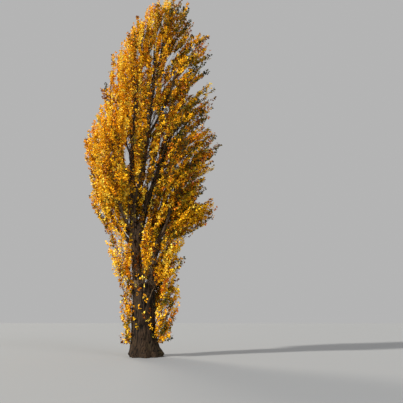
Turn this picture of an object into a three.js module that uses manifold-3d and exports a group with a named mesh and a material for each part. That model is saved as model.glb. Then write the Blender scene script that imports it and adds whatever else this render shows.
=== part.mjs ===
// A tall columnar poplar in autumn leaf: a short trunk that forks low into steep stems, boughs that
// climb beside them, and a foliage mass round the upper end of each.
// Millimetres, +Z up. The origin is the middle of the flat cut at ground level. +X is the right-hand
// side of the tree as it is usually seen, -Y is the side nearest the viewer.

import * as THREE from "three";
import { mergeVertices } from "three/addons/utils/BufferGeometryUtils.js";
import Module from "manifold-3d";

const wasm = await Module();
wasm.setup();

// Driving dimensions
const TREE_HEIGHT = 21400;
const FORK_HEIGHT = 3450;
const CLEARANCE = 0.3;
const FOLIAGE_GAP = 90;
const LIMB_GAP = 25;

// The trunk: its flare, lean and buttresses, and the oval that two stems stand on side by side.
// Its rings crowd towards the ground by the power ringCrowding.
const TRUNK = {
  radius: 550,
  forkWiden: 1.09,
  forkNarrow: 0.86,
  forkPower: 3,
  lean: -190,
  flare: 260,
  flareHeight: 600,
  flareShift: 60,
  buttresses: 5,
  buttressDepth: 0.3,
  buttressTurn: 0.6,
  sides: 18,
  levels: 11,
  ringCrowding: 1.5,
};

// The crown's outline: a height, and how far the leaves reach there to the left and to the right
const CROWN = [
  [0, -800, 900],
  [2000, -1270, 1450],
  [2900, -1150, 1750],
  [3500, -1350, 1300],
  [4700, -2050, 2080],
  [5700, -2230, 1950],
  [6300, -2150, 2300],
  [7200, -2700, 3900],
  [7900, -3050, 2700],
  [9300, -3480, 3350],
  [11600, -3970, 3950],
  [12300, -3700, 3200],
  [13200, -3150, 3280],
  [14600, -2950, 3600],
  [16700, -2500, 3300],
  [18500, -1800, 3080],
  [19700, -1250, 2000],
  [20700, -620, 1880],
  [TREE_HEIGHT, 500, 1350],
];
const CROWN_DEPTH = 0.85;
const CROWN_RAGGED = 0.05;
const CROWN_RAGGED_LOBES = 4;

// Gaps where the sky shows through the crown: each is open along the lines of sight from the eye.
// At is its middle in the plane y = 0, size its width and height, lean how far its top is shifted.
const EYE = new THREE.Vector3(2770, -21100, 1600);
const SKY_GAPS = [
  { at: [-1430, 10930], size: [400, 1730], lean: 0 },
  { at: [-20, 12820], size: [400, 1420], lean: 60 },
  { at: [-60, 8650], size: [360, 1350], lean: 240 },
  { at: [780, 17000], size: [260, 1250], lean: 420 },
  { at: [-740, 16300], size: [260, 560], lean: 200 },
  { at: [-330, 17500], size: [200, 500], lean: 60 },
];
const SKY_GAP_REACH = 3600;
const SKY_GAP_SIDES = 8;

// Limb and mass rings: sides, the height between rings, and the shortest step as a share of it
const LIMB_SIDES = 8;
const LIMB_LEVEL_STEP = 1300;
const LIMB_FEWEST_LEVELS = 3;
const MASS_SIDES = 10;
const MASS_LEVEL_STEP = 720;
const MASS_SHORTEST_STEP = 0.3;

// Stems and boughs. Each leaves the limb that it is on at a height, or stands on the trunk's top, and
// climbs to its end. Bow is how far its middle lies off the straight line, along X and Y. Thick and
// thin are its radii at the two ends.
const LIMB_TAPER = 1.25;
const STEMS = [
  {
    name: "stem_left", on: "trunk", stands: [-430, -40, FORK_HEIGHT],
    end: [-1050, -100, 15200], bow: [-330, 0], thick: 300, thin: 62,
  },
  {
    name: "stem_right", on: "trunk", stands: [175, 60, FORK_HEIGHT],
    end: [1680, -300, 8240], bow: [-400, 0], thick: 200, thin: 75,
  },
  {
    name: "stem_middle", on: "stem_left", leaves: 5250,
    end: [1520, -150, 13000], bow: [-250, 60], thick: 205, thin: 60,
  },
  {
    name: "stem_centre", on: "stem_left", leaves: 7250,
    end: [-150, 120, 17300], bow: [240, 90], thick: 130, thin: 52,
  },
  {
    name: "stem_centre_right", on: "stem_centre", leaves: 11900,
    end: [1290, -100, 15900], bow: [150, -40], thick: 82, thin: 42,
  },
  {
    name: "stem_top_right", on: "stem_centre", leaves: 14300,
    end: [380, -60, 18100], bow: [40, -60], thick: 60, thin: 34,
  },
];

// The boughs that end at the foot of a mass, in shares of their own thickness and spread
const BOUGH_THIN = 0.6;
const BOUGH_BOW = 0.2;
const BOUGHS = [
  { name: "bough_left_high", on: "stem_left", leaves: 11300, end: [-1520, -300, 13300], thick: 60 },
  { name: "bough_left_upper", on: "stem_left", leaves: 10500, end: [-1780, 0, 12500], thick: 66 },
  { name: "bough_left_mid", on: "stem_left", leaves: 9100, end: [-1950, -150, 11400], thick: 80 },
  { name: "bough_left_outer", on: "stem_left", leaves: 5800, end: [-2020, 200, 7900], thick: 105 },
  { name: "bough_left_far", on: "stem_left", leaves: 5350, end: [-2450, -200, 8300], thick: 120 },
  { name: "bough_right_low", on: "stem_right", leaves: 4450, end: [1100, -150, 5500], thick: 78 },
  { name: "bough_right_far", on: "stem_middle", leaves: 7800, end: [1400, 60, 9250], thick: 92 },
  { name: "bough_right_inner", on: "stem_middle", leaves: 8600, end: [1420, -350, 10150], thick: 80 },
  { name: "bough_right_upper", on: "stem_middle", leaves: 9700, end: [1750, 200, 11200], thick: 72 },
  { name: "bough_front_left", on: "stem_left", leaves: 6100, end: [-1500, -1000, 7700], thick: 92 },
  { name: "bough_front_right", on: "stem_right", leaves: 5500, end: [1150, -1200, 7300], thick: 88 },
  { name: "bough_front_mid", on: "stem_left", leaves: 7500, end: [-560, -950, 8900], thick: 74 },
  { name: "bough_front_high", on: "stem_left", leaves: 12000, end: [-880, -700, 13600], thick: 50 },
  { name: "bough_front_upper", on: "stem_middle", leaves: 9400, end: [820, -1050, 11300], thick: 66 },
  { name: "bough_back_left", on: "stem_left", leaves: 6000, end: [-1680, 1050, 7500], thick: 96 },
  { name: "bough_back_mid", on: "stem_left", leaves: 6900, end: [-900, 1150, 8500], thick: 84 },
  { name: "bough_back_right", on: "stem_right", leaves: 4950, end: [850, 1150, 6900], thick: 98 },
  { name: "bough_back_high_left", on: "stem_left", leaves: 10000, end: [-1350, 850, 12100], thick: 64 },
  { name: "bough_back_high_right", on: "stem_middle", leaves: 10300, end: [1250, 850, 12100], thick: 64 },
  { name: "bough_back_top", on: "stem_centre", leaves: 13200, end: [60, 780, 15100], thick: 50 },
];

// The foliage masses: tip, greatest radius and sideways bow. One that is on a limb stands on that
// limb's end. One with a foot of its own lies against the limbs and is cut round them.
const FLAME = { belly: 0.42, footShare: 0.45, heelShare: 1.8, tipRadius: 45, fullness: 0.8 };
const BUMPS = { lobes: 3, depth: 0.13, ripples: 5, rippleDepth: 0.08, spacing: 3200 };
const MASSES = [
  { name: "top", on: "stem_centre", tip: [1050, -30, TREE_HEIGHT], girth: 1150, bow: [-150, 0] },
  { name: "top_left", on: "stem_left", tip: [-500, -150, 20700], girth: 1050, bow: [-200, 0] },
  { name: "top_right", on: "stem_top_right", tip: [1700, 60, 20850], girth: 1050, bow: [120, 0] },
  { name: "right_high", on: "stem_centre_right", tip: [2750, -80, 18850], girth: 1300, bow: [160, 0] },
  { name: "middle", on: "stem_middle", tip: [2500, -60, 16700], girth: 1150, bow: [0, 0] },
  { name: "right_mid", on: "stem_right", tip: [2950, -350, 10500], girth: 1150, bow: [60, 0] },
  { name: "left_high", on: "bough_left_high", tip: [-1700, -280, 18650], girth: 950, bow: [-180, 0] },
  { name: "left_upper", on: "bough_left_upper", tip: [-2250, 500, 17150], girth: 950, bow: [-120, 0] },
  { name: "left_mid", on: "bough_left_mid", tip: [-2650, -240, 15900], girth: 950, bow: [-130, 0] },
  { name: "left_outer", on: "bough_left_outer", tip: [-2850, 650, 13500], girth: 1100, bow: [-160, 60] },
  { name: "left_far", on: "bough_left_far", tip: [-3650, -220, 12150], girth: 1000, bow: [-60, 0] },
  { name: "right_low", on: "bough_right_low", tip: [2450, -250, 8150], girth: 1500, bow: [120, 0] },
  { name: "right_far", on: "bough_right_far", tip: [3450, 40, 11850], girth: 1200, bow: [60, 60] },
  {
    name: "right_inner", on: "bough_right_inner",
    tip: [2900, -300, 13300], girth: 1150, bow: [120, -60],
  },
  { name: "right_upper", on: "bough_right_upper", tip: [3150, 180, 15500], girth: 1150, bow: [140, 60] },
  {
    name: "front_left", on: "bough_front_left",
    tip: [-2000, -2150, 13300], girth: 1200, bow: [-60, -260],
  },
  {
    name: "front_right", on: "bough_front_right",
    tip: [1900, -2250, 12700], girth: 1200, bow: [0, -260],
  },
  { name: "front_mid", on: "bough_front_mid", tip: [-500, -2000, 14300], girth: 1050, bow: [0, -260] },
  { name: "front_high", on: "bough_front_high", tip: [-700, -1400, 18500], girth: 1050, bow: [0, -160] },
  {
    name: "front_upper", on: "bough_front_upper",
    tip: [1500, -1650, 16500], girth: 1100, bow: [0, -200],
  },
  { name: "back_left", on: "bough_back_left", tip: [-2600, 2050, 13200], girth: 1300, bow: [-60, 260] },
  { name: "back_mid", on: "bough_back_mid", tip: [-850, 2350, 14400], girth: 1200, bow: [0, 280] },
  { name: "back_right", on: "bough_back_right", tip: [1850, 2350, 12900], girth: 1350, bow: [60, 280] },
  {
    name: "back_high_left", on: "bough_back_high_left",
    tip: [-1450, 1400, 17900], girth: 1150, bow: [0, 180],
  },
  {
    name: "back_high_right", on: "bough_back_high_right",
    tip: [1850, 1500, 17200], girth: 1200, bow: [60, 180],
  },
  { name: "back_top", on: "bough_back_top", tip: [420, 880, 20200], girth: 1100, bow: [0, 140] },
  { name: "left_low", foot: [-1480, -330, 6050], tip: [-3150, -420, 9500], girth: 800, bow: [-60, 0] },
  { name: "left_skirt", foot: [-860, -160, 3450], tip: [-1850, -220, 6000], girth: 650, bow: [-80, 0] },
  { name: "left_foot", foot: [-830, -160, 450], tip: [-1150, -160, 3400], girth: 420, bow: [0, 0] },
  { name: "right_foot", foot: [660, -160, 420], tip: [1600, -160, 3150], girth: 600, bow: [60, 0] },
  { name: "right_skirt", foot: [480, -130, 3300], tip: [1700, -220, 5250], girth: 800, bow: [20, 0] },
  { name: "fork_front", foot: [-90, -500, 2950], tip: [140, -920, 7200], girth: 500, bow: [0, -60] },
  { name: "back_skirt", foot: [-60, 600, 1750], tip: [150, 1300, 6100], girth: 700, bow: [0, 120] },
];

const BARK = new THREE.MeshStandardMaterial({ color: 0x4a3d33, roughness: 0.95, metalness: 0 });
const YOUNG_BARK = new THREE.MeshStandardMaterial({ color: 0x5e4e3c, roughness: 0.9, metalness: 0 });
const LEAF = new THREE.MeshStandardMaterial({ color: 0xc98f1c, roughness: 0.75, metalness: 0 });

/** A closed loft: a capped cylinder whose rings, one per share of the height, lie where section says. */
function loft(sides, shares, section) {
  const levels = shares.length - 1;
  const shape = new THREE.CylinderGeometry(1, 1, 1, sides, levels, false, Math.PI / 2);
  shape.rotateX(Math.PI / 2);
  const at = shape.getAttribute("position");
  for (let i = 0; i < at.count; i += 1) {
    const share = shares[Math.round((at.getZ(i) + 0.5) * levels)];
    const turn = Math.atan2(at.getY(i), at.getX(i)) / (2 * Math.PI);
    const angle = (2 * Math.PI * ((Math.round(turn * sides) + sides) % sides)) / sides;
    const onRim = Math.hypot(at.getX(i), at.getY(i)) > 0.5;
    const { centre, radius } = section(share, angle);
    const out = onRim ? radius : 0;
    at.setXYZ(i, centre.x + out * Math.cos(angle), centre.y + out * Math.sin(angle), centre.z);
  }
  return shape;
}

/** Even shares of a height, from 0 to 1. */
function evenShares(levels) {
  return Array.from({ length: levels + 1 }, (_, i) => i / levels);
}

/** A closed geometry as a solid that can be cut. */
function solidOf(shape) {
  const bare = shape.clone();
  bare.deleteAttribute("normal");
  bare.deleteAttribute("uv");
  const merged = mergeVertices(bare, 1e-3);
  return new wasm.Manifold(
    new wasm.Mesh({
      numProp: 3,
      vertProperties: merged.getAttribute("position").array,
      triVerts: new Uint32Array(merged.index.array),
    }),
  );
}

/** A cut solid as a geometry again. */
function geometryOf(solid) {
  const mesh = solid.getMesh();
  const shape = new THREE.BufferGeometry();
  shape.setAttribute("position", new THREE.BufferAttribute(mesh.vertProperties, mesh.numProp));
  shape.setIndex(new THREE.BufferAttribute(mesh.triVerts, 1));
  shape.computeVertexNormals();
  return shape;
}

/** A curve whose height rises evenly, bowed sideways in its middle. */
function climb(start, end, bow) {
  const control = start.clone().add(end).multiplyScalar(0.5);
  control.x += 2 * bow[0];
  control.y += 2 * bow[1];
  return new THREE.QuadraticBezierCurve3(start, control, end);
}

/** Where a curve from climb() is at a height, as a share of its own rise. */
function shareAt(path, height) {
  return (height - path.v0.z) / (path.v2.z - path.v0.z);
}

/** The trunk's section: root flare at the ground, buttresses that fade, an oval at the fork. */
function trunkSection(share, angle, extra) {
  const height = FORK_HEIGHT * share ** TRUNK.ringCrowding;
  const fade = Math.exp(-height / TRUNK.flareHeight);
  const lobes = 1 + TRUNK.buttressDepth * Math.cos(TRUNK.buttresses * angle + TRUNK.buttressTurn);
  const toFork = share ** TRUNK.forkPower;
  const shift = TRUNK.flareShift * fade + TRUNK.lean * Math.sqrt(share);
  const wide = 1 + (TRUNK.forkWiden - 1) * toFork;
  const narrow = 1 + (TRUNK.forkNarrow - 1) * toFork;
  const oval = 1 / Math.hypot(Math.cos(angle) / wide, Math.sin(angle) / narrow);
  return {
    centre: new THREE.Vector3(shift, 0, height),
    radius: TRUNK.radius * oval + TRUNK.flare * fade * lobes + extra,
  };
}

/** The trunk, with its radius grown by extra to cut a neighbour. */
function trunkSolid(extra = 0) {
  const section = (share, angle) => trunkSection(share, angle, extra);
  return solidOf(loft(TRUNK.sides, evenShares(TRUNK.levels), section));
}

/** The radius of a limb at a share of its height: it thins fast at first, as below a fork. */
function limbRadius(limb, share) {
  return limb.thin + (limb.thick - limb.thin) * (1 - share) ** LIMB_TAPER;
}

/** A limb's tube, with its radius grown by extra to cut a neighbour. */
function limbSolid(limb, extra = 0) {
  const rise = limb.path.v2.z - limb.path.v0.z;
  const levels = Math.max(LIMB_FEWEST_LEVELS, Math.round(rise / LIMB_LEVEL_STEP));
  const section = (share) => ({
    centre: limb.path.getPoint(share),
    radius: limbRadius(limb, share) + extra,
  });
  return solidOf(loft(LIMB_SIDES, evenShares(levels), section));
}

/** The limbs by name, each with its path, from the tables. */
function growLimbs() {
  const limbs = new Map();
  const boughs = BOUGHS.map((row) => ({ ...row, thin: row.thick * BOUGH_THIN }));
  for (const row of [...STEMS, ...boughs]) {
    const end = new THREE.Vector3(...row.end);
    let start;
    if (row.stands) {
      start = new THREE.Vector3(...row.stands);
      start.z += CLEARANCE;
    } else {
      const parent = limbs.get(row.on);
      start = parent.path.getPoint(shareAt(parent.path, row.leaves));
    }
    const bow = row.bow ?? [BOUGH_BOW * (end.x - start.x), BOUGH_BOW * (end.y - start.y)];
    limbs.set(row.name, { ...row, path: climb(start, end, bow) });
  }
  return limbs;
}

/** The masses by name, each with its path. */
function growMasses(limbs) {
  const masses = new Map();
  for (const row of MASSES) {
    const limb = limbs.get(row.on);
    const foot = limb ? limb.path.v2.clone() : new THREE.Vector3(...row.foot);
    foot.z += CLEARANCE;
    const path = climb(foot, new THREE.Vector3(...row.tip), row.bow);
    const heel = Math.max(limb ? limb.thin * FLAME.heelShare : 0, row.girth * FLAME.footShare);
    masses.set(row.name, { ...row, path, heel });
  }
  return masses;
}

/** A mass's plain radius at a share of its height: a flame, with its belly below the middle. */
function flame(mass, share) {
  const low = share < FLAME.belly;
  const swell = low ? share / FLAME.belly : (1 - share) / (1 - FLAME.belly);
  const eased = Math.sin((Math.PI / 2) * Math.max(0, swell)) ** FLAME.fullness;
  const end = low ? mass.heel : FLAME.tipRadius;
  return end + (mass.girth - end) * eased;
}

/** How far it is from a point to the crown's outside, at an angle. */
function crownReach(from, angle) {
  const above = Math.max(1, CROWN.findIndex((row) => row[0] >= from.z));
  const [low, high] = [CROWN[above - 1], CROWN[above]];
  const t = (from.z - low[0]) / (high[0] - low[0]);
  const left = THREE.MathUtils.lerp(low[1], high[1], t);
  const right = THREE.MathUtils.lerp(low[2], high[2], t);
  const half = (right - left) / 2;
  const x = (from.x - (left + right) / 2) / half;
  const y = from.y / (half * CROWN_DEPTH);
  const dx = Math.cos(angle) / half;
  const dy = Math.sin(angle) / (half * CROWN_DEPTH);
  const a = dx * dx + dy * dy;
  const b = x * dx + y * dy;
  const c = x * x + y * y - 1;
  return c < 0 ? (-b + Math.sqrt(b * b - a * c)) / a : 0;
}

/** A mass's own radius at a share of its height and an angle, uneven, and slanted as it leans. */
function massRadius(mass, order, share, angle) {
  const rise = mass.path.getTangent(share);
  const slope = Math.hypot(rise.x, rise.y) / rise.z;
  const toLean = angle - Math.atan2(rise.y, rise.x);
  const slant = Math.hypot(Math.cos(toLean) / Math.hypot(1, slope), Math.sin(toLean));
  const wave = (2 * Math.PI * mass.path.getPoint(share).z) / BUMPS.spacing;
  const bump = BUMPS.depth * Math.sin(BUMPS.lobes * angle + wave + order);
  const ripple = BUMPS.rippleDepth * Math.sin(BUMPS.ripples * angle - wave + 2 * order);
  return (flame(mass, share) * (1 + bump + ripple)) / slant;
}

/** What holds a mass in at a share of its height: neighbours and limbs, each a place and a limit. */
function holdsOn(mass, share, masses, limbs) {
  const centre = mass.path.getPoint(share);
  const radius = flame(mass, share);
  const holds = [];
  const hold = (path, limit) => {
    const margin = MASS_LEVEL_STEP / (path.v2.z - path.v0.z);
    const s = shareAt(path, centre.z);
    if (s < -margin || s > 1 + margin) return;
    const level = THREE.MathUtils.clamp(s, 0, 1);
    const there = path.getPoint(level);
    const apart = Math.hypot(there.x - centre.x, there.y - centre.y);
    const angle = Math.atan2(there.y - centre.y, there.x - centre.x);
    holds.push({ angle, limit: limit(apart, level) });
  };
  for (const other of masses.values()) {
    const shared = (apart, level) =>
      (apart * radius) / (radius + flame(other, level)) - FOLIAGE_GAP / 2;
    if (other !== mass) hold(other.path, shared);
  }
  for (const limb of limbs.values()) {
    const clear = (apart, level) => apart - limbRadius(limb, level) - LIMB_GAP;
    if (mass.on && mass.on !== limb.name) hold(limb.path, clear);
  }
  return holds;
}

/** How far out a mass reaches at a share of its height and an angle, held off what is round it. */
function massReach(mass, order, share, angle, holds) {
  const centre = mass.path.getPoint(share);
  const wave = (2 * Math.PI * centre.z) / BUMPS.spacing;
  const ragged = 1 - CROWN_RAGGED * (1 + Math.sin(CROWN_RAGGED_LOBES * angle + 2 * wave + order));
  let reach = Math.min(massRadius(mass, order, share, angle), crownReach(centre, angle) * ragged);
  for (const hold of holds) {
    const toward = Math.cos(angle - hold.angle);
    if (toward > 0) reach = Math.min(reach, hold.limit / toward);
  }
  return Math.max(reach, FLAME.tipRadius);
}

/** The shares of a mass's height where its rings lie: its ends, and the levels shared by all masses. */
function massShares(mass) {
  const shares = [0];
  const first = Math.ceil(mass.path.v0.z / MASS_LEVEL_STEP + MASS_SHORTEST_STEP);
  for (let level = first; ; level += 1) {
    const share = shareAt(mass.path, level * MASS_LEVEL_STEP);
    if (shareAt(mass.path, (level + MASS_SHORTEST_STEP) * MASS_LEVEL_STEP) > 1) break;
    shares.push(share);
  }
  return [...shares, 1];
}

/** A mass as a solid, before it is cut; extra grows it to cut a neighbour. */
function massSolid(mass, order, masses, limbs, extra = 0) {
  const shares = massShares(mass);
  const holds = new Map(shares.map((share) => [share, holdsOn(mass, share, masses, limbs)]));
  const section = (share, angle) => ({
    centre: mass.path.getPoint(share),
    radius: massReach(mass, order, share, angle, holds.get(share)) + extra,
  });
  return solidOf(loft(MASS_SIDES, shares, section));
}

/** The opening of a sky gap: an oval pyramid from the eye, cut off in front of and behind the crown. */
function skyGapSolid(gap) {
  const shape = new THREE.CylinderGeometry(1, 1, 2, SKY_GAP_SIDES);
  const at = shape.getAttribute("position");
  for (let i = 0; i < at.count; i += 1) {
    const y = at.getY(i) * SKY_GAP_REACH;
    const spread = (y - EYE.y) / -EYE.y;
    const x = gap.at[0] + (at.getX(i) * gap.size[0] + at.getZ(i) * gap.lean) / 2;
    const z = gap.at[1] + (at.getZ(i) * gap.size[1]) / 2;
    at.setXYZ(i, EYE.x + (x - EYE.x) * spread, y, EYE.z + (z - EYE.z) * spread);
  }
  return solidOf(shape);
}

/** A named mesh of a solid. */
function meshOf(name, solid, material) {
  const mesh = new THREE.Mesh(geometryOf(solid), material);
  mesh.name = name;
  return mesh;
}

/** What is left of a body outside the cutters: its largest piece. */
function carve(body, cutters) {
  let left = body;
  for (const cutter of cutters) left = left.subtract(cutter);
  return left.decompose().sort((a, b) => b.volume() - a.volume())[0];
}

/** The whole tree as a group of named meshes. */
function poplar() {
  const tree = new THREE.Group();
  const cutters = [trunkSolid(CLEARANCE)];
  tree.add(meshOf("trunk", trunkSolid(), BARK));

  const limbs = growLimbs();
  for (const limb of limbs.values()) {
    const cut = carve(limbSolid(limb), limb.stands ? cutters.slice(1) : cutters);
    cutters.push(limbSolid(limb, CLEARANCE));
    tree.add(meshOf(limb.name, cut, limb.name.startsWith("stem") ? BARK : YOUNG_BARK));
  }

  const masses = growMasses(limbs);
  const gaps = SKY_GAPS.map(skyGapSolid);
  const leafy = [];
  for (const mass of masses.values()) {
    const order = leafy.length;
    const around = [...cutters, ...leafy, ...gaps];
    const body = carve(massSolid(mass, order, masses, limbs), around);
    leafy.push(massSolid(mass, order, masses, limbs, CLEARANCE));
    tree.add(meshOf("foliage_" + mass.name, body, LEAF));
  }
  return tree;
}

export default poplar();
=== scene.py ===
"""A tall columnar poplar in golden autumn leaf: furrowed bark, boughs, twigs and leaves.

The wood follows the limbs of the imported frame, and twigs and leaves grow on from them inside its masses
of foliage. Metres throughout, +Z up, the origin at the foot of the trunk.
"""

import logging
import math
from dataclasses import dataclass, field
from enum import Enum
from typing import Any

import bpy
import numpy as np
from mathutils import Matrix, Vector
from mathutils.bvhtree import BVHTree

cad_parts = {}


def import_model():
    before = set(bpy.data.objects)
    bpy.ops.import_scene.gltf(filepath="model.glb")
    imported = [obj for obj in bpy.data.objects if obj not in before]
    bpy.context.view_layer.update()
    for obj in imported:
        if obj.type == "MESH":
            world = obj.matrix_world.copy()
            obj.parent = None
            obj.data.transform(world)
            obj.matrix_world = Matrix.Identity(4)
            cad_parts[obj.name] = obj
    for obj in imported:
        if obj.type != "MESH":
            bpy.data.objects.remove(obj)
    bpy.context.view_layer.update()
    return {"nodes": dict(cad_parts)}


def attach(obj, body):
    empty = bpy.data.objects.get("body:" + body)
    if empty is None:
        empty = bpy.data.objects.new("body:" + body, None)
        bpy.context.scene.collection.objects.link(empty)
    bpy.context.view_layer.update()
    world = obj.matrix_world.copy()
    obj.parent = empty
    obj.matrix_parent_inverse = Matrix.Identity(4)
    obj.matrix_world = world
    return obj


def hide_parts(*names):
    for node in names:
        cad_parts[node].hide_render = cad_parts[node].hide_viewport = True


Array = np.ndarray
Triple = tuple[float, float, float]
Colour = Triple

BODY = "root"
GOLDEN_ANGLE = math.radians(137.5)
GROWTH_SEED = 21
FAR = 1e6
UP = np.array([0.0, 0.0, 1.0])

log = logging.getLogger("poplar")


# Numbers and curves


def unit(vectors: Array) -> Array:
    """Vectors of length one."""
    return vectors / np.maximum(np.linalg.norm(vectors, axis=-1, keepdims=True), 1e-9)


def ease(values: Array, low: float, high: float) -> Array:
    """A smooth step from 0 at low to 1 at high."""
    share = np.clip((values - low) / (high - low), 0.0, 1.0)
    return share * share * (3.0 - 2.0 * share)


def ripple(points: Array, wavelength: float, seed: int, waves: int = 16) -> Array:
    """A smooth random field made of plane waves.

    Args:
        points: Places to read the field at, one a row.
        wavelength: The usual distance between two crests, in metres.
        seed: Which field it is.
        waves: How many plane waves are added up.

    Returns:
        One number for each point, about 0 on average and 1 in spread.
    """
    rng = np.random.default_rng(seed)
    heading = unit(rng.normal(size=(waves, 3)))
    heading *= 2 * math.pi / wavelength * rng.uniform(0.7, 1.35, (waves, 1))
    phase = rng.uniform(0, 2 * math.pi, waves)
    return np.sin(points @ heading.T + phase).sum(axis=1) * math.sqrt(2 / waves)


def about_z(points: Array, turn: float) -> Array:
    """Points turned about the upright axis.

    Args:
        points: The points, one a row.
        turn: The angle.

    Returns:
        The turned points.
    """
    x, y = points[:, 0], points[:, 1]
    cosine, sine = math.cos(turn), math.sin(turn)
    return np.stack([x * cosine - y * sine, x * sine + y * cosine, points[:, 2]], axis=1)


def around(turn: Array, side: Array, other: Array) -> Array:
    """The directions at angles from one side direction towards another."""
    return np.cos(turn)[:, None] * side + np.sin(turn)[:, None] * other


def bezier(corners: list[Array], steps: int) -> Array:
    """Cubic curves, many at once.

    Args:
        corners: The four control points, each an array of one row a curve.
        steps: How many points each curve gets.

    Returns:
        An array of curves by steps by 3.
    """
    t = np.linspace(0.0, 1.0, steps)[None, :, None]
    a, b, c, d = (corner[:, None, :] for corner in corners)
    s = 1.0 - t
    return a * s**3 + 3 * b * s * s * t + 3 * c * s * t * t + d * t**3


def smooth_line(knots: Array, steps: int) -> Array:
    """A smooth line through knots at even steps of height or length.

    Args:
        knots: The points to pass through, from foot to tip.
        steps: How many points the line gets.

    Returns:
        The line's points.
    """
    ends = np.vstack([2 * knots[0] - knots[1], knots, 2 * knots[-1] - knots[-2]])
    at = np.linspace(0, len(knots) - 1, steps)
    first = np.minimum(at.astype(int), len(knots) - 2)
    t = (at - first)[:, None]
    p0, p1, p2, p3 = (ends[first + i] for i in range(4))
    bend = (2 * p0 - 5 * p1 + 4 * p2 - p3) * t * t + (3 * p1 - p0 - 3 * p2 + p3) * t**3
    return 0.5 * (2 * p1 + (p2 - p0) * t + bend)


def frames_along(paths: Array) -> tuple[Array, Array, Array]:
    """The heading of each path at each of its points, with two directions square to it that don't twist.

    Args:
        paths: An array of paths by points by 3.

    Returns:
        Headings and the two side directions, each shaped as the paths.
    """
    heading = unit(np.gradient(paths, axis=1))
    side = np.zeros_like(paths)
    start = np.where(np.abs(heading[:, 0, 2:3]) > 0.9, [[1.0, 0.0, 0.0]], [[0.0, 0.0, 1.0]])
    side[:, 0] = unit(start - heading[:, 0] * (start * heading[:, 0]).sum(1, keepdims=True))
    for i in range(1, paths.shape[1]):
        lean = (side[:, i - 1] * heading[:, i]).sum(1, keepdims=True)
        side[:, i] = unit(side[:, i - 1] - heading[:, i] * lean)
    return heading, side, np.cross(heading, side)


def tubes(paths: Array, radii: Array, sides: int) -> tuple[Array, Array]:
    """Closed tapering tubes that end in a point, many at once.

    Args:
        paths: An array of paths by points by 3.
        radii: The radius at each point of each path.
        sides: How many sides a tube has.

    Returns:
        The vertices and the triangles.
    """
    count, rings = radii.shape
    rings -= 1
    _, side, other = frames_along(paths)
    turn = np.arange(sides) * 2 * math.pi / sides
    ring = np.cos(turn)[:, None] * side[:, :-1, None] + np.sin(turn)[:, None] * other[:, :-1, None]
    ring = paths[:, :-1, None] + ring * radii[:, :-1, None, None]
    vertices = np.concatenate([ring.reshape(count, -1, 3), paths[:, -1:]], axis=1)
    k = np.arange(sides)
    after = (k + 1) % sides
    faces = []
    for row in range(rings - 1):
        low, high = row * sides, (row + 1) * sides
        faces.append(np.stack([low + k, low + after, high + after], axis=1))
        faces.append(np.stack([low + k, high + after, high + k], axis=1))
    last = (rings - 1) * sides
    faces.append(np.stack([last + k, last + after, np.full(sides, rings * sides)], axis=1))
    fan = np.arange(1, sides - 1)
    faces.append(np.stack([np.zeros_like(fan), fan + 1, fan], axis=1))
    one = np.concatenate(faces)
    size = rings * sides + 1
    triangles = one[None] + (np.arange(count) * size)[:, None, None]
    return vertices.reshape(-1, 3), triangles.reshape(-1, 3)


def mesh_piece(name: str, vertices: Array, triangles: Array,
               material: bpy.types.Material) -> bpy.types.Object:
    """A new object made of many small things joined in one mesh.

    Args:
        name: The piece's name.
        vertices: Its points.
        triangles: Three point numbers a row.
        material: Its finish.

    Returns:
        The object, linked to the scene.
    """
    mesh = bpy.data.meshes.new(name)
    mesh.vertices.add(len(vertices))
    mesh.vertices.foreach_set("co", vertices.astype(np.float32).ravel())
    mesh.loops.add(triangles.size)
    mesh.loops.foreach_set("vertex_index", triangles.astype(np.int32).ravel())
    mesh.polygons.add(len(triangles))
    mesh.polygons.foreach_set("loop_start", np.arange(0, triangles.size, 3, dtype=np.int32))
    mesh.update(calc_edges=True)
    mesh.materials.append(material)
    piece = bpy.data.objects.new(name, mesh)
    bpy.context.scene.collection.objects.link(piece)
    return piece


def hand_in(piece: bpy.types.Object, nodes: list[str]) -> None:
    """Ties a finished piece to the frame and reports it.

    Args:
        piece: The finished object.
        nodes: The frame's nodes that it stands for.
    """
    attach(piece, BODY)
    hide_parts(*nodes)
    log.info("%s: %d faces", piece.name, len(piece.data.polygons))


# Finishes


def linear(code: int) -> Colour:
    """A screen colour as linear light.

    Args:
        code: The colour as 0xRRGGBB.

    Returns:
        Red, green and blue from 0 to 1.
    """
    parts = [(code >> shift & 255) / 255 for shift in (16, 8, 0)]
    r, g, b = ((p / 12.92) if p <= 0.04045 else ((p + 0.055) / 1.055) ** 2.4 for p in parts)
    return r, g, b


class Tone:
    """A number that changes over a surface, so that shader maths reads as plain expressions."""

    def __init__(self, board: "Board", socket: bpy.types.NodeSocket) -> None:
        """Wraps a socket of the board."""
        self.board = board
        self.socket = socket

    def __add__(self, other: "Tone | float") -> "Tone":
        """The sum."""
        return self.board.maths("ADD", self, other)

    def __sub__(self, other: "Tone | float") -> "Tone":
        """The difference."""
        return self.board.maths("SUBTRACT", self, other)

    def __rsub__(self, other: float) -> "Tone":
        """The difference, the other way round."""
        return self.board.maths("SUBTRACT", other, self)

    def __mul__(self, other: "Tone | float") -> "Tone":
        """The product."""
        return self.board.maths("MULTIPLY", self, other)

    __radd__ = __add__
    __rmul__ = __mul__


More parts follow.
